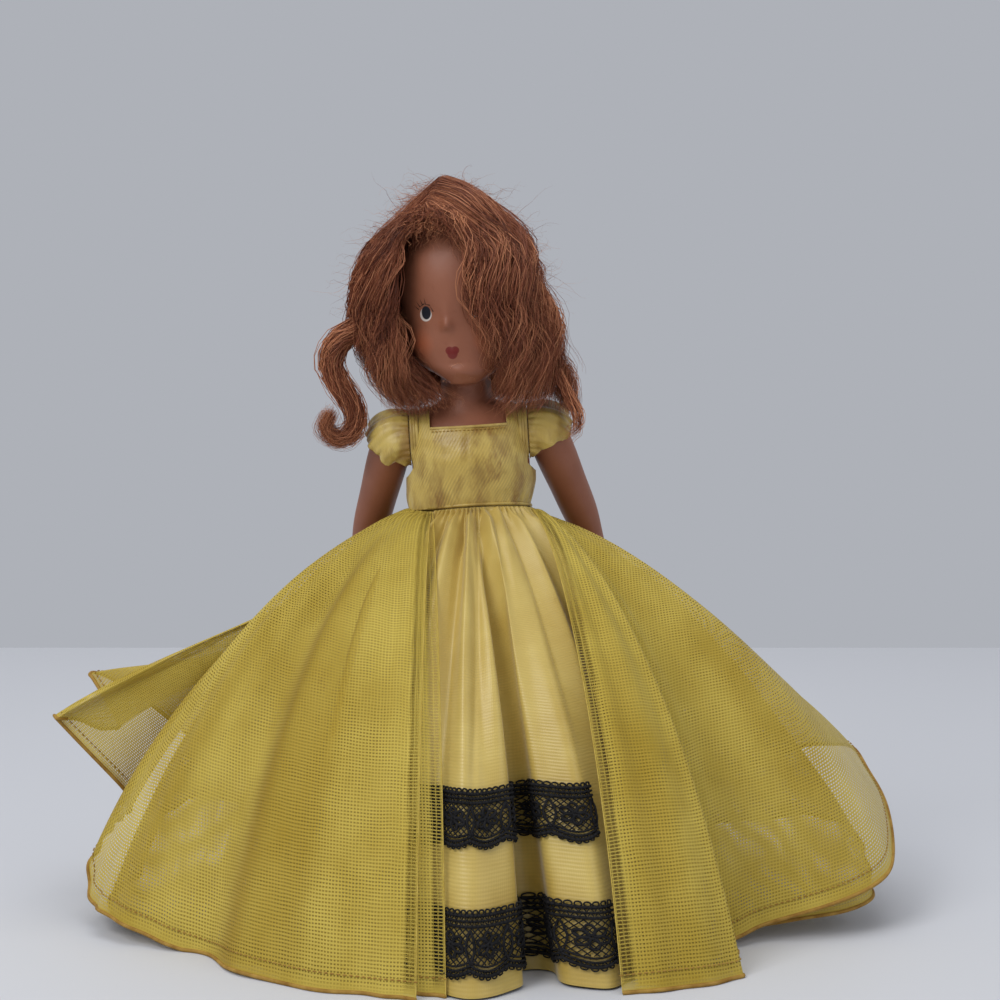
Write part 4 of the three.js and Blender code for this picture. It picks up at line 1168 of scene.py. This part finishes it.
def onBodice(x, z, side=-1, lift=0.0):  # a place on the bodice's front (or back) by its distance across
    _, half, front, back = np.moveaxis(ovalAt(torsoRows, z), -1, 0)
    out = bodiceCut["outer"] + lift
    deep = np.sqrt(np.maximum(1 - (x / (half + out)) ** 2, 0.0))
    y = (front + back) / 2 + side * ((back - front) / 2 + out) * deep
    return leaned(np.stack([x, y, z + 0 * x], -1))


trimLook = dict(
    stitchHalf=6.6, stitchDrop=0.7, stitchLift=0.14, rollHalf=7, rollDrop=0.12, roll=0.3, opening=(0.5, 15.2),
    tape=0.4, tapeOut=-0.15, tapeDrops=(0.4, 0.95, 1.5), waistOut=0.62,
    rimRadius=5.1, rim=0.36, rimPlaces=(-10.6, -10.1, -9.6, 9.6, 10.1, 10.6),
)
x = np.linspace(-trimLook["stitchHalf"], trimLook["stitchHalf"], 60)
stitchRise = np.full(60, necklineRise - trimLook["stitchDrop"])
neckLines = [
    onBodice(x, stitchRise, -1, trimLook["stitchLift"]),
    onBodice(x[::-1], stitchRise, 1, trimLook["stitchLift"]),
    onBodice(np.full(40, 0.5), np.linspace(*trimLook["opening"], 40), 1),
]
neckStitches = stitches("neckStitches", neckLines, spacing=0.72, length=0.5, radius=0.1, material=hemThread)
x = np.linspace(-trimLook["rollHalf"], trimLook["rollHalf"], 60)
neckEdge = onBodice(x, np.full(60, necklineRise - trimLook["rollDrop"]))
neckRoll = threads("neckRoll", [neckEdge], [trimLook["roll"]], seamThread, sides=6)
turn = np.linspace(0, fullTurn, 161)
tapeLines = [seamPoint(turn, trimLook["tapeOut"], drop) for drop in trimLook["tapeDrops"]]
waistTape = threads("waistTape", tapeLines, [trimLook["tape"]] * len(tapeLines), bodiceSatin, sides=8)
waistEdge = seamPoint(turn, trimLook["waistOut"], 0.0)
waistRoll = threads("waistRoll", [waistEdge], [trimLook["roll"]], bodiceSatin, sides=6)
rims = [leaned(roundRing(x, trimLook["rimRadius"], turn, shoulderRise)) for x in trimLook["rimPlaces"]]
armholeRolls = threads("armholeRolls", rims, [trimLook["rim"]] * len(rims), bodiceSatin, sides=6)
trims = [neckStitches, neckRoll, waistTape, waistRoll, armholeRolls]
for piece in trims:
    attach(piece, "doll")
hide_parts("waist_tape")
print("bodice ready", clothArea(bodice))

# Cap sleeves: gathered at the armhole, a ruffled edge, open under the arm
sleeveLook = dict(
    radius=5.7, length=2.0, tilt=math.radians(50), wraps={-1: (128.0, 80.0), 1: (128.0, 44.0)}, ruffle=0.4,
    setback=3.2, thickness=0.4, rows=44, columns=150, flat=(12, 9), edgeCord=0.22,
)


def sleevePoint(t, side, wraps):  # from the armhole to the edge, side from -1 to 1 round the arm
    tilt = t * sleeveLook["tilt"]
    down = sleeveLook["length"] * t * t
    middle = armLook["start"] + down * math.tan(armLook["splay"]) - (1 - t) ** 2 * sleeveLook["setback"]
    puff = sleeveLook["radius"] * (0.88 + 0.08 * t + 0.05 * np.sin(t * math.pi))
    first, last = np.radians(wraps)
    turn = side * (first + (last - first) * t)
    gather = 0.1 * np.cos(26 * turn + 1) * np.exp(-t / 0.25)
    crumple = 0.45 * creased(7 * turn + 2 * t + 1) * smooth(0, 0.4, t)
    ruffle = sleeveLook["ruffle"] * t * t * np.cos(9 * turn) + 0.2 * t**3 * np.cos(21 * turn)
    reach = puff + ruffle + gather + crumple
    x = middle + np.sin(tilt) * reach * np.cos(turn)
    z = np.cos(tilt) * reach * np.cos(turn) - down
    return np.stack([x, reach * np.sin(turn), z], -1)


for name, side in (("left", -1), ("right", 1)):
    rows, columns = np.linspace(0, 1, sleeveLook["rows"]), np.linspace(-1, 1, sleeveLook["columns"])
    t, wrap = np.meshgrid(rows, columns, indexing="ij")
    grid = shoulderPlace(sleevePoint(t, wrap, sleeveLook["wraps"][side]), side)
    faces = gridFaces(*t.shape)
    faces = faces if side < 0 else faces[:, ::-1]
    flat = np.stack([wrap, t], -1) * sleeveLook["flat"]
    sleeve = makePiece(name + "Sleeve", makeMesh(name + "Sleeve", grid, faces, flat), sleeveSatin)
    thickened(sleeve, sleeveLook["thickness"])
    edging = threads(name + "SleeveEdge", [grid[-1]], [sleeveLook["edgeCord"]], hemThread, sides=5)
    sewn = stitches(
        name + "SleeveStitches", [grid[-4]], spacing=0.8, length=0.55, radius=0.24, material=seamThread
    )
    for piece in (sleeve, edging, sewn):
        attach(piece, name + "_arm")
    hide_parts(name + "_sleeve")
print("sleeves ready", clothArea(sleeve))

# Hair: locks of fine waved strands over a dark mat
hairLook = dict(
    dark=(0.06, 0.0145, 0.0075, 1), mid=(0.25, 0.075, 0.036, 1), light=(0.68, 0.29, 0.14, 1), rough=0.32,
    strand=0.065, points=21, curlPoints=23,
    fibreEven={"Specular IOR Level": 0.22},
    matEven={"Roughness": 0.9, "Specular IOR Level": 0.1},
)


def fibreMaterial(name):
    material, tree, shader = newMaterial(name)
    patch = noise(tree, objectSpot(tree), 160.0, 3.0)
    mixed = plus(tree, times(tree, pointValue(tree, "strandTone"), 0.75), times(tree, patch, 0.35))
    colour = ramp(tree, mixed, (0.1, hairLook["dark"]), (0.5, hairLook["mid"]), (0.95, hairLook["light"]))
    rough = plus(tree, hairLook["rough"], times(tree, patch, 0.2))
    fill(tree, shader, {"Base Color": colour, "Roughness": rough})
    fill(tree, shader, hairLook["fibreEven"])
    return material


def matMaterial(name):
    material, tree, shader = newMaterial(name)
    streak = noise(tree, stretched(tree, objectSpot(tree), (900, 900, 90)), 1.0, 4.0)
    fill(tree, shader, {"Base Color": mixColour(tree, streak, hairLook["dark"], hairLook["mid"])})
    fill(tree, shader, hairLook["matEven"])
    bumped(tree, shader, streak, strength=0.6, distance=0.0004)
    return material


hairFibre = fibreMaterial("hairFibre")
hairMat = matMaterial("hairMat")
wigLook = dict(narrow=0.9, shift=-1.8)
wigRows = [
    (24.2, 15, -6.5, 15), (28, 17.4, -9.5, 16.6), (36, 18.2, -12, 17.6), (44, 17.4, -12.8, 17),
    (51, 14.2, -12, 15), (56, 9, -8.4, 11), (59.6, 4.2, -4.4, 6.4), (61.7, 1.4, -1, 2),
]


def wigPoint(turn, z, out):  # on the wig's outside
    points = ovalPoint(wigRows, turn, z, out)
    points[..., 0] = points[..., 0] * wigLook["narrow"] + wigLook["shift"]
    return points


def guided(guides, count, seed):  # lock centre lines spread between neighbouring guides
    dice = np.random.default_rng(seed)
    guides = np.asarray(guides, float)
    t = np.linspace(0, 1, hairLook["points"])
    lines = np.stack([spline(guide, t) for guide in guides])
    place = dice.uniform(0, len(guides) - 1.001, count)
    i = place.astype(int)
    f = (place - i)[:, None, None]
    ends = dice.normal(0, 1.3, (count, 1, 3)) * (t**2)[None, :, None]
    return lines[i] * (1 - f) + lines[i + 1] * f + ends


def swept(turns, top, bottom, count, seed):  # lock centre lines down the wig's outside
    dice = np.random.default_rng(seed)
    t = np.linspace(0, 1, hairLook["points"])[None]
    turn = np.radians(dice.uniform(*turns, count))[:, None] + dice.normal(0, 0.12, (count, 1)) * t
    start = top - dice.uniform(0, 3.5, (count, 1))
    clear = 7.0 * smooth(0.35, 0.8, np.abs(turn[:, :1] - math.pi))  # shorter above the arms than at the neck
    z = start + (bottom + clear + dice.uniform(-2.0, 2.5, (count, 1)) - start) * t**0.9
    return wigPoint(turn, z, dice.normal(-0.8, 0.4, (count, 1)))


def combed(centres, perLock, seed, spread=(0.22, 0.62), wave=1.9, curl=0.0):  # strands round each lock's line
    waves, frizz = 2.9, 0.13
    dice = np.random.default_rng(seed)
    n, k = centres.shape[:2]
    t = np.linspace(0, 1, k)
    side = np.arctan2(centres[:, :1, 0], -centres[:, :1, 1])
    phase = 2.5 * side + dice.normal(0, 0.4, (n, 1))  # neighbouring locks wave nearly together
    angle = waveTurn * dice.normal(waves, 0.4, (n, 1)) * t + phase
    size = wave * dice.uniform(0.5, 1.4, (n, 1)) * smooth(0.08, 0.45, t)
    sway = size * np.sin(angle)
    roll = size * np.cos(angle + dice.normal(0, 0.5, (n, 1)))
    outward = unit(centres * [1, 1, 0])
    sideways = np.cross(outward, [0.0, 0.0, 1.0])
    bend = roll * 0.6 - curl * smooth(0.75, 1.0, t)
    lockLine = centres + sideways * sway[..., None] + outward * bend[..., None]
    m = n * perLock
    width = spread[0] + (spread[1] - spread[0]) * np.sin(np.clip(t * 1.25, 0, 1) * math.pi * 0.62)
    offset = dice.normal(0, 1, (m, 1, 3)) * width[None, :, None]
    small = np.cumsum(dice.normal(0, frizz, (m, k, 3)), 1) * smooth(0, 0.5, t)[None, :, None]
    ownSize = dice.uniform(0.1, 0.45, (m, 1))
    ownWave = ownSize * np.sin(waveTurn * dice.uniform(4, 9, (m, 1)) * t + dice.uniform(0, waveTurn, (m, 1)))
    strands = np.repeat(lockLine, perLock, 0) + offset + small
    strands = strands + np.repeat(sideways, perLock, 0) * (ownWave * t**0.5)[..., None]
    tone = np.repeat(dice.normal(0.42, 0.2, n), perLock) + dice.normal(0, 0.15, m)
    return strands, np.clip(tone, 0, 1)


def hairPiece(name, strands, tones, seed, thick=1.0):
    dice = np.random.default_rng(seed)
    t = np.linspace(0, 1, strands.shape[1])
    swell = 0.55 + 0.45 * np.sin(np.clip(t * 1.1 + 0.1, 0, 1) * math.pi)
    taper = hairLook["strand"] * thick * swell * (1 - 0.55 * t**3)
    sizes = list(dice.uniform(0.7, 1.3, (len(strands), 1)) * taper)
    pointTones = np.repeat(tones, strands.shape[1])
    piece = threads(name, list(leaned(strands)), sizes, hairFibre, strandTone=pointTones)
    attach(piece, "doll")
    print(name, len(piece.data.polygons) * 2)
    return piece


# Guides for the locks, from the parting down, each from the front of its side to the back
leftGuides = [
    [
        (-5.5, -7.5, 56), (-9, -10.4, 52.5), (-12.4, -11, 47), (-13.4, -10.6, 39),
        (-12.6, -9.3, 32), (-9.4, -7.5, 25.5), (-5.5, -6.5, 21),
    ],
    [
        (-4.6, -5.5, 58), (-9, -8.6, 53.6), (-14, -9.4, 47), (-15.4, -9, 38.5),
        (-14.4, -8.2, 31), (-12.2, -7, 25.5), (-9.5, -6.5, 20.5),
    ],
    [
        (-3.2, -3, 60.2), (-8.8, -5.5, 54.8), (-15.4, -6.5, 48), (-17, -6, 39),
        (-16.4, -5.5, 32), (-14.8, -5, 26), (-12, -5, 20),
    ],
    [
        (-2, -0.5, 61.6), (-8.8, -2.5, 55), (-16.4, -2.5, 48.4), (-18.6, -2, 40),
        (-18.2, -2, 33.6), (-16.6, -2, 28), (-14.4, -2.5, 23.5),
    ],
    [
        (-1.3, 2, 61.8), (-8.4, 2, 55.2), (-16.2, 2, 48.4), (-18.4, 2.5, 40.6),
        (-18, 3, 34.4), (-16.4, 3, 29.4), (-14.2, 2.6, 25.6),
    ],
]
rightGuides = [
    [
        (-5, -8, 56.2), (-1.8, -11.4, 54), (2.4, -13, 49.6), (4.0, -13.6, 43.5),
        (4.5, -13.4, 37), (7.2, -12.2, 30), (8, -9.8, 25.5), (6, -7.5, 21),
    ],
    [
        (-4.4, -6.6, 57.8), (-0.4, -10, 55.8), (5, -11.8, 51), (8, -12, 45),
        (9.2, -11.6, 38), (10.4, -10.2, 31), (10.4, -8.6, 26), (8.6, -7.5, 20),
    ],
    [
        (-3.4, -4, 60), (1.2, -7.6, 58), (6.6, -9.6, 53), (9.6, -10, 46.5),
        (10.6, -9.6, 39), (12, -8.6, 32), (12.6, -7.4, 26), (12, -6.5, 19.5),
    ],
    [
        (-2.2, -1, 61.6), (2.8, -4, 59), (8, -6, 54), (11.6, -6.4, 47.5),
        (12.6, -6, 40), (14.6, -5.4, 33), (15.8, -5, 26.5), (15.6, -5, 20),
    ],
    [
        (-1.1, 1.5, 61.8), (3.8, 0, 59), (8.6, -1, 54), (12.2, -1.4, 48),
        (13.2, -1, 40.5), (15.2, -1.4, 33.5), (16.8, -2, 27), (17, -3, 21.5),
    ],
    [
        (-1, 4, 61.2), (3.8, 3.6, 58.2), (8.6, 3, 53.5), (12.2, 3, 47.5),
        (13.4, 3, 40.4), (15, 2.4, 34), (16.2, 1.4, 29), (15.6, 0, 24.8),
    ],
]
wispGuides = [
    [(-6.4, -7.2, 56), (-8.2, -9, 54.6), (-9.6, -9.8, 53), (-10.6, -10.2, 50.5)],
    [(-5.2, -7.6, 56.8), (-5, -9.6, 55.2), (-4.6, -10.6, 54), (-4.2, -11.2, 53)],
    [(-4.4, -7.6, 57), (-2.2, -10.8, 55), (-0.2, -12.2, 52.6), (1, -13, 49)],
    [(-3.6, -7, 57.8), (0.6, -11.2, 54.4), (4.4, -13.2, 48), (6, -13.8, 38)],
]
veilGuides = [
    [
        (-3.6, -7, 57.8), (0, -11.6, 54.2), (1.6, -13.8, 48), (2.4, -14.4, 41),
        (3.4, -14.2, 34), (6.2, -12.4, 28.5), (8, -9.8, 25),
    ],
    [
        (-3.2, -6.8, 58), (1, -11.2, 54.4), (3.2, -13.6, 48), (4.4, -14.4, 41),
        (5.2, -14, 34), (7.4, -12.2, 28.5), (9, -9.6, 25),
    ],
]
locks = {  # piece: guides, locks, strands in each, curl at the ends, size of the wave
    "leftHair": (leftGuides[:3], 66, 17, 1.5, 1.9),
    "leftSideHair": (leftGuides[2:], 66, 17, 1.5, 1.9),
    "fringe": (rightGuides[:3], 70, 16, 0.8, 1.9),
    "rightSideHair": (rightGuides[2:], 66, 17, 1.0, 1.9),
    "foreheadWisps": (wispGuides, 42, 9, 0.0, 0.6),
    "faceVeil": (veilGuides, 24, 8, 0.6, 1.4),
}
for seed, (name, (guides, count, perLock, curl, wave)) in enumerate(locks.items(), 21):
    strands, tones = combed(guided(guides, count, seed), perLock, seed + 10, wave=wave, curl=curl)
    hairPiece(name, strands, tones, seed + 20)
backLocks = swept(turns=(90, 270), top=61.6, bottom=18.5, count=66, seed=41)
strands, tones = combed(backLocks, perLock=14, seed=42, spread=(0.35, 0.9), curl=1.5)
hairPiece("backHair", strands, tones, 43)
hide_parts("hair_crown")
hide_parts("hair_fringe")


# Ringlets: strands wound round a hanging path
def ringlet(path, radii, turns, count, seed):
    dice = np.random.default_rng(seed)
    k = hairLook["curlPoints"]
    t = np.linspace(0, 1, k)
    line = spline(path, t)
    along = unit(np.gradient(line, axis=0))
    first = unit(np.cross(along, [0.0, 1.0, 0.0]))
    second = np.cross(along, first)
    size = spline(np.asarray(radii, float)[:, None], t)[:, 0]
    angle = waveTurn * turns * t[None] + dice.normal(0, 1.1, (count, 1))
    angle = angle + dice.normal(0, 0.12, (count, k)).cumsum(1)
    reach = size[None] * dice.uniform(0.3, 1.25, (count, 1))
    shape = line[None] + first[None] * (reach * np.cos(angle))[..., None]
    shape = shape + second[None] * (reach * np.sin(angle))[..., None]
    shape = shape + np.cumsum(dice.normal(0, 0.14, (count, k, 3)), 1)
    return shape, np.clip(dice.normal(0.6, 0.22, count), 0, 1)


leftPath = [
    (-16.5, -2, 39), (-19.5, -2.4, 35.4), (-23.2, -3, 32.8), (-24.7, -3.4, 29), (-23.4, -3.8, 25.2),
    (-21.2, -4, 21.8), (-20.2, -4, 18.4), (-21.6, -4, 15.5), (-24.6, -4, 14.8), (-26.6, -4.2, 17),
    (-25.4, -4.4, 19.6),
]
leftRadii = [1.5, 1.8, 1.8, 1.7, 1.6, 1.5, 1.5, 1.3, 1.1, 0.8, 0.4]
strands, tones = ringlet(leftPath, leftRadii, turns=0.8, count=620, seed=51)
leftRinglet = hairPiece("leftRinglet", strands, tones, 52)
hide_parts("left_ringlet")
rightPath = [
    (12.6, -1, 42), (15, -1.6, 37), (16.8, -2, 32.5), (16.2, -2.6, 27.5), (18, -3, 23), (18.4, -3.4, 18),
]
strands, tones = ringlet(rightPath, [1.4, 1.9, 2.0, 2.0, 2.0, 1.3], turns=1.0, count=560, seed=61)
tailPath = [(16.6, -5, 25), (18.6, -5.8, 21), (20.4, -6, 17.4), (20.4, -6, 14.6), (18.8, -6, 13.2)]
tailStrands, tailTones = ringlet(tailPath, [1.2, 0.9, 0.7, 0.6, 0.4], turns=0.6, count=70, seed=63)
strands, tones = np.concatenate([strands, tailStrands]), np.concatenate([tones, tailTones])
rightLock = hairPiece("rightLock", strands, tones, 62)
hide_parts("right_lock")
napePath = [(-12, 7, 25), (-8, 12, 23), (0, 14, 21.8), (8, 12, 23), (12, 7, 25)]
strands, tones = ringlet(napePath, [1.4, 2.3, 2.5, 2.3, 1.4], turns=3.0, count=430, seed=71)
napeRoll = hairPiece("napeRoll", strands, tones, 72)
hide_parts("hair_nape_roll")

# Fly-away hairs: single fine strands that leave the surface
looseLook = dict(
    count=3800, points=10, low=24.5, high=61, lift=0.4, shortest=2.4, longer=6.0, rise=0.25, sag=0.25,
    thick=0.42,
)
dice = np.random.default_rng(81)
turn = np.radians(dice.uniform(-180, 180, looseLook["count"]))
z = dice.uniform(looseLook["low"], looseLook["high"], looseLook["count"])
start = wigPoint(turn, z, looseLook["lift"])
keep = (start[:, 1] > -8) | (np.abs(start[:, 0]) > 11) | (start[:, 2] > 52)  # none over the face
keep &= (start[:, 2] > 35) | (start[:, 1] < -4)  # none where a raised arm passes
start = start[keep]
total, k = len(start), looseLook["points"]
aim = unit(start * [1, 1, 0]) * dice.uniform(0.3, 1.2, (total, 1)) + dice.normal(0, 0.6, start.shape)
aim += [0, 0, looseLook["rise"]]
t = np.linspace(0, 1, k)[None, :, None]
length = looseLook["shortest"] + looseLook["longer"] * dice.uniform(0, 1, (total, 1, 1)) ** 2
loose = start[:, None] + aim[:, None] * length * t * 0.6
loose = loose + np.cumsum(dice.normal(0, 0.22, (total, k, 3)), 1) * t
loose += np.array([0, 0, -1.0]) * length * t**2 * looseLook["sag"]
coil = waveTurn * dice.uniform(0.6, 2.0, (total, 1, 1)) * t + dice.uniform(0, waveTurn, (total, 1, 3))
loose += dice.uniform(0.4, 1.2, (total, 1, 1)) * np.sin(coil) * t
looseTones = np.clip(dice.normal(0.6, 0.2, total), 0, 1)
hairPiece("flyaways", loose, looseTones, 82, thick=looseLook["thick"])

# Mat under the strands: the wig's cap, open over the face and below
capLook = dict(low=25, high=60.8, rows=70, columns=140, out=-2.2, thickness=0.5, face=(-11.5, 9.5, 53.5))
capRise = np.linspace(capLook["low"], capLook["high"], capLook["rows"])[:, None]
capTurn = np.linspace(-math.pi, math.pi, capLook["columns"], endpoint=False)[None]
points, faces = loftMesh(wigPoint(capTurn, capRise + 0 * capTurn, capLook["out"]))
x, y, z = points[faces].mean(1).T
faceLeft, faceRight, faceTop = capLook["face"]
overFace = (x > faceLeft) & (x < faceRight) & (z < faceTop)
window = (y < -2) & (overFace | (z < capLook["low"] + 0.2))
window |= z < capLook["low"] + 0.05
hairCap = makePiece("hairCap", makeMesh("hairCap", leaned(points), faces[~window]), hairMat)
thickened(hairCap, capLook["thickness"], -1)
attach(hairCap, "doll")
print("hair ready")

# Drawers: linen round the hips and thighs, cut level at the knee and the hip
linenLook = dict(dark=(0.52, 0.48, 0.4, 1), light=(0.68, 0.65, 0.57, 1), threads=900.0, rough=0.85)
drawersLook = dict(bottom=45.4, top=67.6, out=0.75, thickness=0.5, voxel=0.6)


def linenMaterial(name):
    material, tree, shader = newMaterial(name)
    inputs = {"Vector": objectSpot(tree), "Scale": linenLook["threads"], "Distortion": 1.5}
    weft = wire(tree, "ShaderNodeTexWave", inputs, bands_direction="Z").outputs[1]
    warp = wire(tree, "ShaderNodeTexWave", inputs, bands_direction="X").outputs[1]
    plain = times(tree, plus(tree, weft, warp), 0.5)
    colour = mixColour(tree, plain, linenLook["dark"], linenLook["light"])
    fill(tree, shader, {"Base Color": colour, "Roughness": linenLook["rough"]})
    bumped(tree, shader, plain, strength=0.4, distance=0.0001)
    return material


linen = linenMaterial("linen")
drawersMesh = makeMesh("pantalettes", *joinedLofts(lowerLofts(drawersLook["out"])))
drawers = remeshed(makePiece("pantalettes", drawersMesh, linen), drawersLook["voxel"])
work = bmesh.new()
work.from_mesh(drawers.data)
for height, way in ((drawersLook["bottom"], -1), (drawersLook["top"], 1)):
    parts = work.verts[:] + work.edges[:] + work.faces[:]
    level = (0, 0, height * mm)
    bmesh.ops.bisect_plane(work, geom=parts, plane_co=level, plane_no=(0, 0, way), clear_outer=True)
work.to_mesh(drawers.data)
work.free()
thickened(drawers, drawersLook["thickness"]).data.shade_smooth()
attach(drawers, "doll")
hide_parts("pantalettes")
print("drawers ready", clothArea(drawers))

# Arm elastic: a cord through the shoulders with a knot in each arm
cordLook = dict(
    half=16.1, radius=0.78, knotStart=(14.4, 14.8), knotMiddle=15.3, knotHalf=0.85, knotRadius=1.75,
)
rubber = threadMaterial("elasticCord", (0.62, 0.57, 0.48, 1), (0.48, 0.42, 0.34, 1), 0.7)
x = np.linspace(-cordLook["half"], cordLook["half"], 90)
knotted = smooth(*cordLook["knotStart"], np.abs(x))
knotReach = (np.abs(x) - cordLook["knotMiddle"]) / cordLook["knotHalf"]
knot = knotted * np.sqrt(np.clip(1 - knotReach**2, 0.02, 1))
cordLine = leaned(np.stack([x, 0 * x, 0 * x + shoulderRise], -1))
cordSize = cordLook["radius"] * (1 - knotted) + cordLook["knotRadius"] * knot
elastic = threads("armElastic", [cordLine], [cordSize], rubber, sides=12)
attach(elastic, "doll")
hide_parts("arm_elastic")

# Back snap: a pressed steel disc with a rolled rim and a dimple
snapLook = dict(
    dark=(0.5, 0.5, 0.5, 1), light=(0.68, 0.67, 0.66, 1), rough=0.25, back=9.8, height=10, sides=48,
)
snapProfile = [  # radius, rise
    (1.55, 0.0), (1.6, 0.25), (1.5, 0.55), (1.3, 0.66), (1.1, 0.55), (0.9, 0.42), (0.7, 0.55),
    (0.35, 0.68), (0.05, 0.7),
]
steel, steelTree, steelShader = newMaterial("snapSteel")
scratch = noise(steelTree, objectSpot(steelTree), 1800.0, 5.0)
steelColour = mixColour(steelTree, scratch, snapLook["dark"], snapLook["light"])
steelRough = plus(steelTree, snapLook["rough"], times(steelTree, scratch, 0.25))
fill(steelTree, steelShader, {"Base Color": steelColour, "Roughness": steelRough, "Metallic": 1.0})
turn = around(snapLook["sides"])
rings = []
for radius, rise in snapProfile:
    level = np.full(snapLook["sides"], snapLook["back"] + rise)
    rings.append(np.stack([radius * np.sin(turn), level, snapLook["height"] - radius * np.cos(turn)], -1))
points, faces = loftMesh(leaned(np.array(rings)))
snap = makePiece("backSnap", makeMesh("backSnap", points, faces[:, ::-1]), steel)
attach(snap, "doll")
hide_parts("back_snap")

print("all pieces ready")
